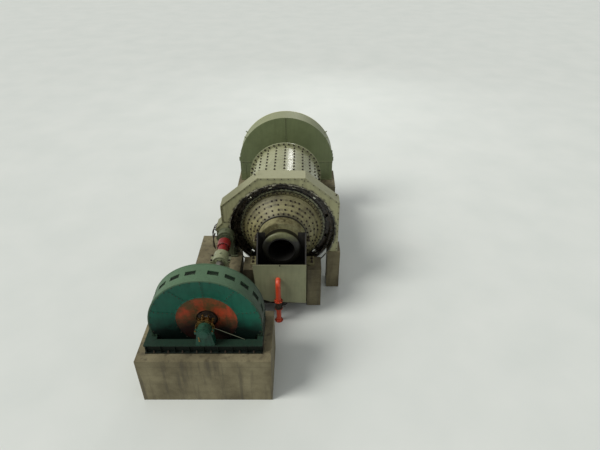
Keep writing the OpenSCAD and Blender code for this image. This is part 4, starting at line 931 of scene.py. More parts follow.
box_black = slurry_black("box_slurry_black")
finish_node("discharge_box", box_black)
plate_paint = weathered_paint("front_plate_paint", linear(0.51, 0.52, 0.40), dry_dust, linear(0.43, 0.43, 0.32), 0.5,
                              0.35, 0.5, bare_rub, 0.4)
finish_node("discharge_front_plate", plate_paint)
plate_low, plate_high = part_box("discharge_front_plate")
box_low, box_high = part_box("discharge_box")
plate_bars = [flat_bar(Vector((plate_low.x + 0.004, plate_low.y, plate_high.z - 0.022)),
                       Vector((plate_high.x - 0.004, plate_low.y, plate_high.z - 0.022)), 0.04, 0.006, (0, -1, 0)),
              flat_bar(Vector((box_high.x - 0.025, plate_low.y, plate_low.z + 0.02)),
                       Vector((box_high.x - 0.025, plate_low.y, plate_high.z - 0.05)), 0.04, 0.006, (0, -1, 0))]
place_piece("front_plate_edge_bars", *joined(plate_bars), plate_paint, "root", "cream_paint")
lip_bolt = [standing(Vector((-0.06, plate_low.y - 0.006, plate_high.z - 0.03)), (0, -1, 0), 0.3)]
stamp("front_plate_bolt", hex_nut(0.046, 0.022, 0.034, 0.005, 0.012), lip_bolt, nut_black, "root", "cream_paint")
rim_bars = []
for side in (-1, 1):
    top = Vector((side * (box_high.x - 0.03), box_high.y - 0.02, box_high.z - 0.01))
    foot = Vector((side * (box_high.x - 0.03), box_low.y + 0.03, plate_high.z - 0.01))
    rim_bars.append(flat_bar(top, foot, 0.05, 0.008, (0, -0.69, 0.72)))
place_piece("box_rim_bars", *joined(rim_bars), box_black, "root", "black_varnish")


# Flush water pipe
# An orange-red steel pipe with an elbow, welded to the front plate, with a flanged lever valve below it.
# The riser under the valve stands on a bolted foot, in the same paint as the pipe.
pipe_paint = weathered_paint("pipe_orange_paint", linear(0.80, 0.27, 0.14), linear(0.78, 0.45, 0.33),
                             linear(0.42, 0.13, 0.08), 0.2, 0.6, 0.35, linear(0.35, 0.18, 0.12), 0.5)
finish_node("flush_water_inlet", pipe_paint)
pipe_low, pipe_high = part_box("flush_water_inlet")
pipe_x = (pipe_low.x + pipe_high.x) / 2
riser_y = pipe_low.y + 0.17
riser = Vector((pipe_x, riser_y, pipe_low.z + 0.025))
joint_bolts = [standing(riser + Vector((0.147 * math.cos(math.radians(a)), 0.147 * math.sin(math.radians(a)), 0)),
                        (0, 0, 1), a) for a in [k * 45 + 22.5 for k in range(8)]]
stamp("pipe_flange_bolts", hex_nut(0.036, 0.020, 0.022, 0.003, 0.012), joint_bolts, nut_black, "root",
      "warm_red_paint")


def turned(place, section, steps=32):
    """Corners and faces of a piece turned round a place's own Z, from (radius, height) pairs, closed at its ends."""
    rows = len(section)
    corners = [place @ Vector((r * math.cos(2 * math.pi * k / steps), r * math.sin(2 * math.pi * k / steps), h))
               for k in range(steps) for r, h in section]
    faces = []
    for k in range(steps):
        here, ahead = k * rows, (k + 1) % steps * rows
        faces.extend([here + i, ahead + i, ahead + i + 1, here + i + 1] for i in range(rows - 1))
    faces.append([k * rows for k in range(steps)][::-1])
    faces.append([k * rows + rows - 1 for k in range(steps)])
    return corners, faces


valve_h = 0.36
valve_foot = pipe_low.z - valve_h
riser_r = 0.095
foot_flange = ((0.165, 0.0), (0.165, 0.022), (0.115, 0.026), (riser_r, 0.040))
neck_flange = ((riser_r, valve_foot - 0.045), (0.112, valve_foot - 0.028), (0.160, valve_foot - 0.025),
               (0.160, valve_foot))
riser_place = Matrix.Translation((pipe_x, riser_y, 0.0))
place_piece("flush_water_riser", *turned(riser_place, foot_flange + neck_flange), pipe_paint, "root",
            "warm_red_paint")
valve_iron = black_oily_metal("valve_dark_iron", linear(0.17, 0.17, 0.13), 0.5)
valve_section = ((0.155, valve_foot), (0.155, valve_foot + 0.024), (0.095, valve_foot + 0.030),
                 (0.115, valve_foot + 0.100), (0.125, valve_foot + 0.180), (0.115, valve_foot + 0.260),
                 (0.095, pipe_low.z - 0.030), (0.155, pipe_low.z - 0.024), (0.155, pipe_low.z))
valve_middle = Vector((pipe_x, riser_y, valve_foot + valve_h / 2))
bonnet = turned(standing(valve_middle, (0, -1, 0)), ((0.062, 0.09), (0.062, 0.135), (0.050, 0.140), (0.022, 0.146),
                                                      (0.022, 0.200), (0.012, 0.204)), 24)
place_piece("flush_water_valve", *joined([turned(riser_place, valve_section), bonnet]), valve_iron, "root",
            "warm_red_paint")
lever_root = valve_middle + Vector((-0.02, -0.188, 0.0))
lever = flat_bar(lever_root, lever_root + Vector((0.30, 0.0, 0.05)), 0.030, 0.008, (0, -1, 0))
place_piece("flush_water_lever", *lever, nut_grey, "root", "warm_red_paint")
foot_ring = [standing(Vector((pipe_x + 0.138 * math.cos(math.radians(a)), riser_y + 0.138 * math.sin(math.radians(a)),
                              0.022)), (0, 0, 1), a) for a in range(0, 360, 45)]
stamp("riser_foot_bolts", hex_nut(0.034, 0.020, 0.021, 0.003, 0.012), foot_ring, nut_black, "root", "warm_red_paint")


# Pinion bearings
# Round roller bearing housings on bolted feet, painted grey-green, either side of the gear guard.
# Each has a cover with a ring of screws, four cap bolts and a lubrication nipple on top.
housing_green = weathered_paint("housing_green_paint", linear(0.30, 0.33, 0.24), linear(0.42, 0.43, 0.33),
                                linear(0.15, 0.14, 0.09), 0.4, 0.7, 0.4, bare_rub, 0.5)


def bearing_trim(name, bore, housing_r, foot_half, foot_top, ear_half):
    """Covers, cap bolts and foot bolts of one bearing block on the drive axis."""
    low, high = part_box(name)
    parts = []
    screws = []
    for y, facing in ((low.y + 0.02, -1), (high.y - 0.02, 1)):
        parts.append(angle_ring(drive, bore, housing_r * 0.72, y, facing, 0.022, 0.034))
        screws += ring_of_nuts(drive, housing_r * 0.62, y + facing * 0.022, 8, (0, facing, 0), 22.5)
    middle = (low.y + high.y) / 2
    reach = (high.y - low.y) / 2 - 0.10
    cap_bolts = []
    for side in (-1, 1):
        for y in (middle - reach * 0.8, middle + reach * 0.8):
            cap_bolts.append(standing(Vector((drive.x + side * (ear_half - 0.035), y, drive.z + 0.045)), (0, 0, 1), y))
            cap_bolts.append(standing(Vector((drive.x + side * (foot_half - 0.05), y, foot_top)), (0, 0, 1), y))
    parts.append(dome_cover(Vector((drive.x, middle, drive.z + housing_r - 0.006)), (0, 0, 1), 0.035, 0.04, 16))
    return parts, screws, cap_bolts


for name in ("pinion_front_bearing", "pinion_back_bearing"):
    finish_node(name, housing_green)
cover_parts = []
cover_screws = []
cap_bolts = []
for name in ("pinion_front_bearing", "pinion_back_bearing"):
    parts, screws, bolts = bearing_trim(name, 0.123, 0.34, 0.44, 2.01, 0.38)
    cover_parts += parts
    cover_screws += screws
    cap_bolts += bolts
place_piece("pinion_bearing_covers", *joined(cover_parts), housing_green, "root", "grey_green_paint")
stamp("pinion_bearing_screws", hex_nut(0.028, 0.016, 0.018, 0.003, 0.0), cover_screws, nut_grey, "root",
      "grey_green_paint")
stamp("pinion_bearing_bolts", hex_nut(0.055, 0.036, 0.040, 0.005, 0.03), cap_bolts, nut_black, "root",
      "grey_green_paint")


# Line shaft bearing
# A cream cast block that carries the motor's shaft before the coupling, with dark bolts on its cap.
cream_block = weathered_paint("line_bearing_cream_paint", linear(0.46, 0.49, 0.37), linear(0.60, 0.60, 0.47),
                              linear(0.22, 0.22, 0.14), 0.5, 0.7, 0.25, bare_rub, 0.5)
finish_node("line_shaft_bearing", cream_block)
parts, screws, bolts = bearing_trim("line_shaft_bearing", 0.153, 0.29, 0.44, 2.01, 0.38)
place_piece("line_bearing_covers", *joined(parts), cream_block, "root", "cream_paint")
stamp("line_bearing_screws", hex_nut(0.028, 0.016, 0.018, 0.003, 0.0), screws, nut_black, "root", "cream_paint")
stamp("line_bearing_bolts", hex_nut(0.060, 0.038, 0.044, 0.005, 0.03), bolts, nut_black, "root", "cream_paint")


# Coupling and shafts
# A stepped gear coupling, painted a strong crimson, joins the machined and oiled steel shafts.
# Bolts ring its joint, and its ends carry screwed seal rings.
coupling_red = weathered_paint("coupling_crimson_paint", linear(0.49, 0.055, 0.075), linear(0.56, 0.25, 0.22),
                               linear(0.22, 0.03, 0.03), 0.25, 0.6, 0.28, linear(0.34, 0.24, 0.20), 0.6, shine=0.4)
for name in ("coupling_pinion_half", "coupling_shaft_half"):
    finish_node(name, coupling_red)


def turned_steel(name):
    """Machined steel with fine turning marks across the axis and a film of oil."""
    material, tree, output = empty_material(name)
    where = add(tree, "ShaderNodeTexCoord").outputs["Object"]
    squeeze = add(tree, "ShaderNodeMapping", {"Vector": where, "Scale": (0.6, 260.0, 0.6)})
    marks = add(tree, "ShaderNodeTexNoise", {"Vector": squeeze.outputs[0], "Scale": 1.0, "Detail": 3.0})
    film = add(tree, "ShaderNodeTexNoise", {"Vector": where, "Scale": 7.0, "Detail": 5.0})
    ramp = add(tree, "ShaderNodeValToRGB", {"Fac": film.outputs["Fac"]})
    ramp.color_ramp.elements[0].position = 0.35
    ramp.color_ramp.elements[0].color = linear(0.36, 0.33, 0.29)
    ramp.color_ramp.elements[1].position = 0.65
    ramp.color_ramp.elements[1].color = linear(0.66, 0.65, 0.62)
    rough = add(tree, "ShaderNodeMapRange", {"Value": film.outputs["Fac"], "To Min": 0.22, "To Max": 0.5})
    bump = add(tree, "ShaderNodeBump", {"Height": marks.outputs["Fac"], "Strength": 0.25, "Distance": 0.001})
    shader = add(tree, "ShaderNodeBsdfPrincipled", {"Base Color": ramp.outputs["Color"], "Metallic": 0.85,
                                                    "Roughness": rough.outputs[0], "Normal": bump.outputs[0]})
    tree.links.new(shader.outputs[0], output.inputs["Surface"])
    return material


shaft_steel = turned_steel("turned_shaft_steel")
for name in ("pinion_shaft", "line_shaft"):
    finish_node(name, shaft_steel)
half_low, half_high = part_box("coupling_pinion_half")
front_half_low, front_half_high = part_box("coupling_shaft_half")
coupling_bolt = hex_nut(0.040, 0.024, 0.027, 0.004, 0.012)
coupling_places = ring_of_nuts(drive, 0.222, half_low.y, 12, (0, -1, 0))
coupling_places += ring_of_nuts(drive, 0.165, front_half_low.y, 8, (0, -1, 0), 11)
coupling_places += ring_of_nuts(drive, 0.165, half_high.y, 8, (0, 1, 0), 11)
stamp("coupling_bolts", coupling_bolt, coupling_places, nut_black, "drive_line", "crimson_paint")


# Motor stator
# A rolled frame of sea-green plate with air windows, round a core of dark laminations.
# Slats close each window, and rolled rims stiffen the front and back edges.
stator_green = weathered_paint("stator_sea_green_paint", linear(0.25, 0.37, 0.27), linear(0.36, 0.45, 0.33),
                               linear(0.19, 0.28, 0.20), 0.4, 0.5, 0.45, bare_rub, 0.4, shine=0.35)
# Painted shade: the frame darkens towards its bottom and towards its right side, away from the light.
grime_and_shade_below(stator_green, drive.z + 1.2, drive.z - 0.1, linear(0.08, 0.13, 0.09), 0.7, 1.6)
grime_and_shade_below(stator_green, drive.x + 0.9, drive.x + 2.1, linear(0.08, 0.13, 0.09), 0.75, 1.6, "X")
# The slats are painted dark green as painted shade of the open windows.
shaded_slat_paint = weathered_paint("window_slat_painted_shade", linear(0.12, 0.20, 0.14), linear(0.26, 0.34, 0.26),
                              linear(0.05, 0.07, 0.05), 0.45, 0.5, 0.5, bare_rub, 0.3)
finish_node("stator_frame", stator_green)
stator_low, stator_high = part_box("stator_frame")
motor_mid = (stator_low.y + stator_high.y) / 2
motor_r = stator_high.z - drive.z
window_half = 0.175
first_window = 11
window_pitch = 17
slats = []
frames = []
for angle in [side * (first_window + k * window_pitch) for k in range(6) for side in (-1, 1)]:
    tilt = math.radians(angle)
    out = Vector((math.sin(tilt), 0, math.cos(tilt)))
    across = Vector((math.cos(tilt), 0, -math.sin(tilt)))
    centre = Vector((drive.x, motor_mid, drive.z)) + out * (motor_r - 0.030)
    for s in range(7):
        middle = centre + Vector((0, -0.085 + s * 0.0283, 0))
        slats.append(flat_bar(middle - across * window_half, middle + across * window_half, 0.016, 0.004,
                              (out + Vector((0, 0.8, 0))).normalized()))
    rim = Vector((drive.x, motor_mid, drive.z)) + out * (motor_r - 0.016)
    for y in (-0.098, 0.098):
        frames.append(flat_bar(rim + Vector((0, y, 0)) - across * window_half,
                               rim + Vector((0, y, 0)) + across * window_half, 0.008, 0.014, out))
place_piece("stator_window_slats", *joined(slats), shaded_slat_paint, "root", "sea_green_paint")
place_piece("stator_window_frames", *joined(frames), stator_green, "root", "sea_green_paint")


def rim_strip(axis, radius, y0, y1, rise, first, last, steps=90):
    """Corners and faces of a low rounded strip over part of a circle, such as a rolled rim."""
    section = ((y0, 0.0), (y0, rise * 0.7), (y0 + (y1 - y0) * 0.25, rise), (y0 + (y1 - y0) * 0.75, rise),
               (y1, rise * 0.7), (y1, 0.0))
    corners = []
    for k in range(steps + 1):
        angle = first + (last - first) * k / steps
        corners += [round_axis(axis, radius + h, y, angle)[0] for y, h in section]
    faces = []
    for k in range(steps):
        faces.extend([k * 6 + i, k * 6 + i + 6, k * 6 + i + 7, k * 6 + i + 1] for i in range(5))
    faces.append([5, 4, 3, 2, 1, 0][::-1])
    faces.append([steps * 6 + i for i in (5, 4, 3, 2, 1, 0)])
    return corners, faces


foot_angle = math.degrees(math.asin((drive.z - 2.40) / motor_r))
rims = [rim_strip(drive, motor_r, y0, y0 + 0.03, 0.008, -foot_angle, 180 + foot_angle)
        for y0 in (stator_low.y + 0.002, stator_high.y - 0.032)]
place_piece("stator_rims", *joined(rims), stator_green, "root", "sea_green_paint", 50)
foot_bolts = []
for side in (-1, 1):
    for y in (-0.33, -0.11, 0.11, 0.33):
        foot_bolts.append(standing(Vector((drive.x + side * 1.802, motor_mid + y, 2.40)), (0, 0, 1), y))
stamp("stator_foot_bolts", hex_nut(0.050, 0.034, 0.040, 0.006, 0.03), foot_bolts, nut_grey, "root", "sea_green_paint")


# Stator core and rotor
# Packed steel laminations and the varnished poles of the rotor, seen through the windows and air hole.
def varnished_laminations(name):
    """Fine stacked sheets along the axis under black varnish."""
    material, tree, output = empty_material(name)
    where = add(tree, "ShaderNodeTexCoord").outputs["Object"]
    dirt = add(tree, "ShaderNodeTexNoise", {"Vector": where, "Scale": 5.0, "Detail": 6.0})
    sheets = add(tree, "ShaderNodeTexWave", {"Vector": where, "Scale": 60.0}, bands_direction="Y")
    ramp = add(tree, "ShaderNodeValToRGB", {"Fac": dirt.outputs["Fac"]})
    ramp.color_ramp.elements[0].color = linear(0.05, 0.045, 0.04)
    ramp.color_ramp.elements[1].color = linear(0.22, 0.17, 0.12)
    bump = add(tree, "ShaderNodeBump", {"Height": sheets.outputs["Fac"], "Strength": 0.4, "Distance": 0.002})
    rough = add(tree, "ShaderNodeMapRange", {"Value": dirt.outputs["Fac"], "To Min": 0.35, "To Max": 0.7})
    shader = add(tree, "ShaderNodeBsdfPrincipled", {"Base Color": ramp.outputs["Color"], "Roughness": rough.outputs[0],
                                                    "Normal": bump.outputs[0]})
    tree.links.new(shader.outputs[0], output.inputs["Surface"])
    return material


laminations = varnished_laminations("varnished_laminations")
for name in ("stator_core", "motor_rotor"):
    finish_node(name, laminations)


# Motor end shields
# Dished dark-teal plates in four bolted sectors close the motor's ends.
# An orange-red cone bolted inside each one leads the cooling air to the rotor.
shield_teal = weathered_paint("shield_teal_paint", linear(0.04, 0.33, 0.26), linear(0.15, 0.36, 0.28),
                              linear(0.03, 0.22, 0.17), 0.12, 0.3, 0.38, linear(0.24, 0.32, 0.26), 0.4, shine=0.25)
# Painted shade: the end shields, the air guides and the base frame are laid near-black lower down, where shadow falls.
painted_shade_black = linear(0.035, 0.05, 0.04)
grime_and_shade_below(shield_teal, drive.z + 0.35, drive.z - 0.35, painted_shade_black, 0.95)
guide_orange = weathered_paint("air_guide_orange_paint", linear(0.64, 0.25, 0.14), linear(0.44, 0.32, 0.19),
                               linear(0.33, 0.22, 0.11), 0.3, 0.6, 0.5, bare_rub, 0.4, shine=0.3)
dirty_patches(guide_orange, linear(0.29, 0.25, 0.13), 0.92, 1.7, 0.38, 0.56)
grime_and_shade_below(guide_orange, drive.z + 0.15, drive.z - 0.40, painted_shade_black, 0.95)
shield_low, shield_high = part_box("front_end_shield")
guide_low, guide_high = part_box("front_air_guide")
shield_out = 1.82
shield_in = 1.02
guide_in = 0.37
shield_slope = (guide_low.y - shield_low.y) / (shield_out - shield_in)
shield_bars = []
shield_screws = []
guide_bars = []
guide_screws = []
for end in (-1, 1):
    face_y = shield_low.y if end < 0 else 2 * motor_mid - shield_low.y

    def dished(radius, angle):
        """A point on the shield's outer face."""
        return round_axis(drive, radius, face_y - end * (shield_out - radius) * shield_slope, angle)

    def coned(radius, angle):
        """A point on the air guide's outer face."""
        fall = (shield_in - radius) * (guide_high.y - guide_low.y - 0.012) / (shield_in - guide_in)
        return round_axis(drive, radius, face_y - end * ((shield_out - shield_in) * shield_slope + fall), angle)

    shield_normal = Vector((0, end, 0))
    for angle in (18, 54, 90, 126, 162):
        start = dished(shield_out - 0.05, angle)[0]
        finish = dished(shield_in + 0.06, angle)[0]
        shield_bars.append(flat_bar(start, finish, 0.07, 0.008, shield_normal))
        for share in (0.1, 0.3, 0.5, 0.7, 0.9):
            shield_screws.append(standing(start.lerp(finish, share) + shield_normal * 0.008, shield_normal, share))
    for angle in range(-10, 191, 10):
        shield_screws.append(standing(dished(shield_out - 0.03, angle)[0], shield_normal, angle))
    shield_bars.append(angle_ring(drive, shield_in - 0.004, shield_in + 0.05,
                                  face_y - end * (shield_out - shield_in) * shield_slope, end, 0.010, 0.012))
    for angle in range(0, 360, 15):
        guide_screws.append(standing(round_axis(drive, shield_in + 0.026, face_y - end * (
            (shield_out - shield_in) * shield_slope - 0.010), angle)[0], shield_normal, angle))
    for angle in (0, 60, 120, 180, 240, 300):
        start = coned(shield_in - 0.02, angle)[0]
        finish = coned(guide_in + 0.03, angle)[0]
        guide_bars.append(flat_bar(start, finish, 0.05, 0.006, shield_normal))
    lip_y = face_y - end * ((shield_out - shield_in) * shield_slope + guide_high.y - guide_low.y - 0.012)
    guide_bars.append(angle_ring(drive, guide_in - 0.004, guide_in + 0.035, lip_y, end, 0.008, 0.03))
for name in ("front_end_shield", "back_end_shield"):
    finish_node(name, shield_teal)
for name in ("front_air_guide", "back_air_guide"):
    finish_node(name, guide_orange)
place_piece("end_shield_joint_bars", *joined(shield_bars), shield_teal, "root", "dark_teal_paint")
place_piece("air_guide_seams", *joined(guide_bars), guide_orange, "root", "warm_red_paint")
shield_screw = hex_nut(0.026, 0.014, 0.018, 0.003, 0.006)
stamp("end_shield_screws", shield_screw, shield_screws + guide_screws, nut_grey, "root", "dark_teal_paint")


# Pedestals, slip rings and brush gear
# Dark-teal pedestal bearings carry the motor's shaft on its base frame.
# Behind the front one, brass slip rings run under brush holders on a yoke, fed by a conduit.
pedestal_teal = weathered_paint("pedestal_teal_paint", linear(0.08, 0.26, 0.20), linear(0.22, 0.34, 0.26),
                                linear(0.03, 0.11, 0.08), 0.3, 0.6, 0.4, bare_rub, 0.5, shine=0.3)
for name in ("front_pedestal", "back_pedestal"):
    finish_node(name, pedestal_teal)


def dull_brass(name):
    """Brass gone brown with carbon dust."""
    material, tree, output = empty_material(name)
    where = add(tree, "ShaderNodeTexCoord").outputs["Object"]
    soot = add(tree, "ShaderNodeTexNoise", {"Vector": where, "Scale": 18.0, "Detail": 6.0})
    ramp = add(tree, "ShaderNodeValToRGB", {"Fac": soot.outputs["Fac"]})
    ramp.color_ramp.elements[0].position = 0.4
    ramp.color_ramp.elements[0].color = linear(0.28, 0.20, 0.10)
    ramp.color_ramp.elements[1].position = 0.6
    ramp.color_ramp.elements[1].color = linear(0.62, 0.50, 0.28)
    rough = add(tree, "ShaderNodeMapRange", {"Value": soot.outputs["Fac"], "To Min": 0.5, "To Max": 0.25})
    bump = add(tree, "ShaderNodeBump", {"Height": soot.outputs["Fac"], "Strength": 0.2, "Distance": 0.001})
    shader = add(tree, "ShaderNodeBsdfPrincipled", {"Base Color": ramp.outputs["Color"], "Metallic": 0.8,
                                                    "Roughness": rough.outputs[0], "Normal": bump.outputs[0]})
    tree.links.new(shader.outputs[0], output.inputs["Surface"])
    return material


brass = dull_brass("sooty_brass")
for name in ("slip_rings", "brush_gear"):
    finish_node(name, brass)
pedestal_parts = []
pedestal_bolts = []
for name in ("front_pedestal", "back_pedestal"):
    low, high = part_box(name)
    middle = (low.y + high.y) / 2
    for side in (-1, 1):
        x = drive.x + side * 0.262
        start = Vector((x, low.y + 0.03, drive.z))
        pedestal_parts.append(flat_bar(start, Vector((x, high.y - 0.03, drive.z)), 0.09, 0.05, (0, 0, 1)))
        pedestal_parts.append(flat_bar(start, Vector((x, high.y - 0.03, drive.z)), 0.09, 0.05, (0, 0, -1)))
        for y in (low.y + 0.07, high.y - 0.07):
            pedestal_bolts.append(standing(Vector((x + side * 0.012, y, drive.z + 0.05)), (0, 0, 1), y))
            pedestal_bolts.append(standing(Vector((drive.x + side * 0.27, y, low.z + 0.06)), (0, 0, 1), y))
    for y, facing in ((low.y, -1), (high.y, 1)):
        pedestal_parts.append(angle_ring(drive, 0.153, 0.205, y, facing, 0.004, 0.005))
    pedestal_parts.append(dome_cover(Vector((drive.x, middle, drive.z + 0.226)), (0, 0, 1), 0.05, 0.035, 20))
end_cover_low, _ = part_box("front_pedestal")
end_cover = Vector((drive.x, end_cover_low.y, drive.z))
pedestal_parts.append(dome_cover(end_cover, (0, -1, 0), 0.165, 0.085, 40))
place_piece("pedestal_trim", *joined(pedestal_parts), pedestal_teal, "root", "dark_teal_paint")
stamp("pedestal_bolts", hex_nut(0.040, 0.026, 0.030, 0.004, 0.02), pedestal_bolts, brass, "root", "brush_brass")


yoke_low, yoke_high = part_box("brush_gear")
base_low, base_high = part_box("motor_base_frame")
conduit_paint = weathered_paint("conduit_grey_paint", linear(0.36, 0.39, 0.32), dry_dust, dry_slurry, 0.3, 0.4, 0.4,
                                bare_rub, 0.3)
front_beam_back = base_low.y + 0.29
conduit_start = Vector((drive.x + 0.30, yoke_low.y + 0.012, drive.z - 0.03))
conduit_end = Vector((-1.11, front_beam_back - 0.03, base_high.z + 0.03))
conduit = [conduit_start.lerp(conduit_end, k / 12) for k in range(13)] + [conduit_end + Vector((0.02, 0, -0.035))]
place_piece("brush_conduit", *tube(conduit, 0.009), conduit_paint, "root", "sea_green_paint")
ring_low, ring_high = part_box("slip_rings")
gauge_place = Vector((drive.x - 0.165, end_cover_low.y, drive.z - 0.165))
gauge = [dome_cover(gauge_place, (0, -1, 0), 0.030, 0.022, 20)]
gauge.append(tube([gauge_place + Vector((0, -0.020, -0.02 * k)) for k in range(7)], 0.010))
gauge.append(dome_cover(gauge_place + Vector((0, 0, -0.137)), (0, -1, 0), 0.026, 0.028, 20))
place_piece("pedestal_oil_gauge", *joined(gauge), brass, "root", "brush_brass")
holders = []
for a in (-60, -20, 20, 60):
    tilt = math.radians(a)
    out = Vector((math.sin(tilt), 0, math.cos(tilt)))
    across = Vector((math.cos(tilt), 0, -math.sin(tilt)))
    for y in (ring_low.y + 0.035, ring_high.y - 0.035):
        root = Vector((drive.x, y, drive.z)) + out * 0.278
        holders.append(flat_bar(root - across * 0.02, root + across * 0.02, 0.04, 0.022, out))
        spring = [root + out * 0.02 + across * 0.018 * math.cos(t * 0.9) + Vector((0, 0.018 * math.sin(t * 0.9), 0))
                  + out * 0.0016 * t for t in range(22)]
        holders.append(tube(spring, 0.003, 6))
place_piece("brush_holders", *joined(holders), brass, "root", "brush_brass")


# Motor base frame
# Two deep welded beams and their cross pieces, dark teal, with plate ribs between the flanges.
# Anchor bolts hold the lower flanges to the concrete.
base_teal = weathered_paint("base_teal_paint", linear(0.05, 0.16, 0.12), linear(0.13, 0.21, 0.15),
                            linear(0.03, 0.06, 0.05), 0.5, 0.6, 0.5, bare_rub, 0.4, shine=0.25)
# Painted shade: the beams darken below their top edge, where the top flange shades the web.
grime_and_shade_below(base_teal, base_high.z - 0.03, base_high.z - 0.12, painted_shade_black, 0.8, 4.0)
finish_node("motor_base_frame", base_teal)
ribs = []
anchors = []
rib_count = 9
for k in range(rib_count):
    x = base_low.x + 0.06 + (base_high.x - base_low.x - 0.12) * k / (rib_count - 1)
    for y, facing, depth in ((base_low.y, 1, 0.0725), (base_high.y, -1, 0.075)):
        foot = Vector((x, y + facing * depth / 2 + facing * 0.004, base_low.z + 0.04))
        ribs.append(flat_bar(foot, foot + Vector((0, 0, base_high.z - base_low.z - 0.08)), depth - 0.008, 0.014,
                             (1, 0, 0)))
        if k < rib_count - 1:
            anchors.append(standing(Vector((x + 0.24, y + facing * 0.032, base_low.z + 0.04)), (0, 0, 1), x))
place_piece("base_frame_ribs", *joined(ribs), base_teal, "root", "dark_teal_paint")
stamp("base_anchor_nuts", hex_nut(0.050, 0.034, 0.036, 0.005, 0.05), anchors, nut_grey, "root", "dark_teal_paint")


# Scoop hood
# A big grey-green sheet-steel hood in two quarters over the scoop feeder, on a bolted skirt.
# Flanges join the quarters at the top and at the level of the axis, and lugs stand at its shoulders.
hood_green = weathered_paint("hood_green_paint", linear(0.42, 0.46, 0.32), linear(0.55, 0.56, 0.43),
                             linear(0.32, 0.35, 0.23), 0.9, 0.3, 0.35, bare_rub, 0.5)
seam_packing = black_oily_metal("seam_packing_black", linear(0.09, 0.09, 0.07), 0.6)
for name in ("hood_left", "hood_right", "hood_skirt"):
    finish_node(name, hood_green)
hood_low, hood_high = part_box("hood_right")
skirt_low, skirt_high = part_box("hood_skirt")
hood_r = hood_high.x
hood_bars = []
hood_bolts = []
for side in (-1, 1):
    start = Vector((side * 0.026, hood_low.y, mill.z + 0.86))
    finish = Vector((side * 0.026, hood_low.y, mill.z + hood_r - 0.02))
    hood_bars.append(flat_bar(start, finish, 0.036, 0.007, (0, -1, 0)))
    start = Vector((side * 0.022, hood_high.y, mill.z + 0.45))
    finish = Vector((side * 0.022, hood_high.y, mill.z + hood_r - 0.02))
    hood_bars.append(flat_bar(start, finish, 0.036, 0.010, (0, 1, 0)))
    for rise in (-0.03, 0.03):
        start = Vector((side * 0.87, hood_low.y, mill.z + rise))
        finish = Vector((side * (hood_r - 0.01), hood_low.y, mill.z + rise))
        hood_bars.append(flat_bar(start, finish, 0.045, 0.008, (0, -1, 0)))
        start = Vector((side * 0.36, hood_high.y, mill.z + rise))
        finish = Vector((side * (hood_r - 0.01), hood_high.y, mill.z + rise))
        hood_bars.append(flat_bar(start, finish, 0.045, 0.008, (0, 1, 0)))
        start = Vector((side * hood_r, hood_low.y + 0.01, mill.z + rise))
        finish = Vector((side * hood_r, hood_high.y - 0.01, mill.z + rise))
        hood_bars.append(flat_bar(start, finish, 0.045, 0.010, (side, 0, 0)))
    for k in range(8):
        x = side * (1.0 + 0.19 * k)
        hood_bolts.append(standing(Vector((x, hood_low.y - 0.008, mill.z + 0.03)), (0, -1, 0), k))
        hood_bolts.append(standing(Vector((x, hood_high.y + 0.008, mill.z + 0.03)), (0, 1, 0), k))
    for k in range(9):
        z = mill.z + 0.92 + 0.18 * k
        hood_bolts.append(standing(Vector((side * 0.024, hood_high.y + 0.010, z)), (0, 1, 0), k))
hood_bars.append(rim_strip(mill, hood_r, hood_low.y + 0.002, hood_low.y + 0.032, 0.012, 0.6, 179.4, 120))
# The back rim is painted paler than the hood, a painted highlight along its edge.
highlight_edge_paint = weathered_paint("hood_edge_painted_highlight", linear(0.72, 0.72, 0.56), linear(0.80, 0.80, 0.68), dry_slurry,
                            0.6, 0.3, 0.22, bare_rub, 0.3)
place_piece("hood_back_rim", *rim_strip(mill, hood_r, hood_high.y - 0.042, hood_high.y - 0.002, 0.014, 0.6, 179.4, 120),
            highlight_edge_paint, "root", "grey_green_paint", 40)
packing = [flat_bar(Vector((0.0, hood_low.y, mill.z + 0.86)), Vector((0.0, hood_low.y, mill.z + hood_r - 0.02)),
                    0.012, 0.006, (0, -1, 0))]
for side in (-1, 1):
    packing.append(flat_bar(Vector((side * 0.87, hood_low.y, mill.z)),
                            Vector((side * (hood_r - 0.01), hood_low.y, mill.z)), 0.014, 0.006, (0, -1, 0)))
place_piece("hood_seam_packing", *joined(packing), seam_packing, "root", "grey_green_paint")
place_piece("hood_flanges", *joined(hood_bars), hood_green, "root", "grey_green_paint", 40)
stamp("hood_bolts", guard_bolt, hood_bolts, hood_green, "root", "grey_green_paint")
hood_mouth = [angle_ring(mill, hole, hole + 0.045, y, facing, 0.008, 0.03)
              for hole, y, facing in ((0.842, hood_low.y, -1), (0.328, hood_high.y, 1))]
place_piece("hood_mouth_rings", *joined(hood_mouth), hood_green, "root", "grey_green_paint")
hood_lugs = []
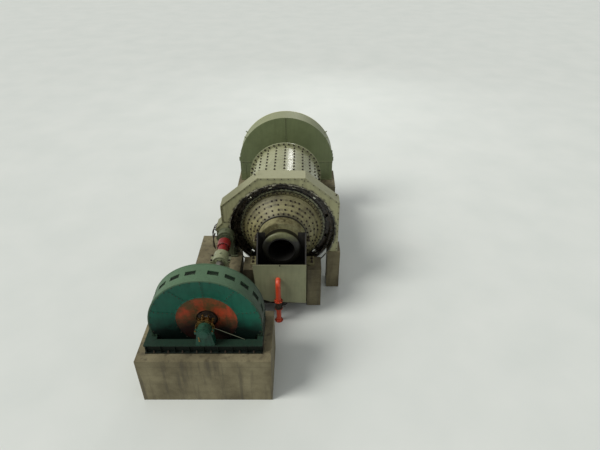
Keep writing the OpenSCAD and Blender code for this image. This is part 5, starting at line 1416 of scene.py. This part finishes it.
for angle, y in ((33, 0.10), (33, 0.85), (147, 0.10), (147, 0.85)):
    point, out = round_axis(mill, hood_r - 0.004, hood_low.y + y, angle)
    hood_lugs.append(lifting_lug(point, (0, 1, 0), out, 0.14, 0.13, 0.02))
for side in (-1, 1):
    for y in (0.08, 0.5, 0.92):
        point = Vector((side * (hood_r + 0.001), hood_low.y + y, mill.z + 0.06))
        hood_lugs.append(flat_bar(point, point + Vector((0, 0, 0.20)), 0.09, 0.05, (side, 0, 0)))
place_piece("hood_lugs", *joined(hood_lugs), hood_green, "root", "grey_green_paint")
skirt_bars = []
for k in range(7):
    x = skirt_low.x + 0.25 + (skirt_high.x - skirt_low.x - 0.5) * k / 6
    if abs(x) > 0.9:
        for y, facing in ((skirt_low.y, -1), (skirt_high.y, 1)):
            foot = Vector((x, y, skirt_low.z + 0.01))
            skirt_bars.append(flat_bar(foot, foot + Vector((0, 0, 0.98)), 0.06, 0.010, (0, facing, 0)))
for y, facing in ((skirt_low.y, -1), (skirt_high.y, 1)):
    start = Vector((skirt_low.x + 0.01, y, skirt_low.z + 0.035))
    finish = Vector((skirt_high.x - 0.01, y, skirt_low.z + 0.035))
    skirt_bars.append(flat_bar(start, finish, 0.06, 0.012, (0, facing, 0)))
place_piece("skirt_bars", *joined(skirt_bars), hood_green, "root", "grey_green_paint")


# Feeder and feed spout
# The feeder's welded drum and scoops turn inside the hood, scoured by wet sand.
# The flanged spout that brings the ore stands still in its middle.
feeder_paint = weathered_paint("feeder_cream_paint", linear(0.60, 0.58, 0.48), dry_dust, dry_slurry, 0.4, 0.9, 0.5,
                               bare_rub, 0.6)
for name in ("feeder_drum", "feeder_end_plate", "feeder_scoops"):
    finish_node(name, feeder_paint)
finish_node("feed_spout", hood_green)
feeder_nuts = ring_of_nuts(mill, 0.60, hood_low.y + 0.11, 16, (0, -1, 0))
stamp("feeder_neck_nuts", hex_nut(0.040, 0.026, 0.030, 0.004, 0.012), feeder_nuts, nut_grey, "drum", "cream_paint")
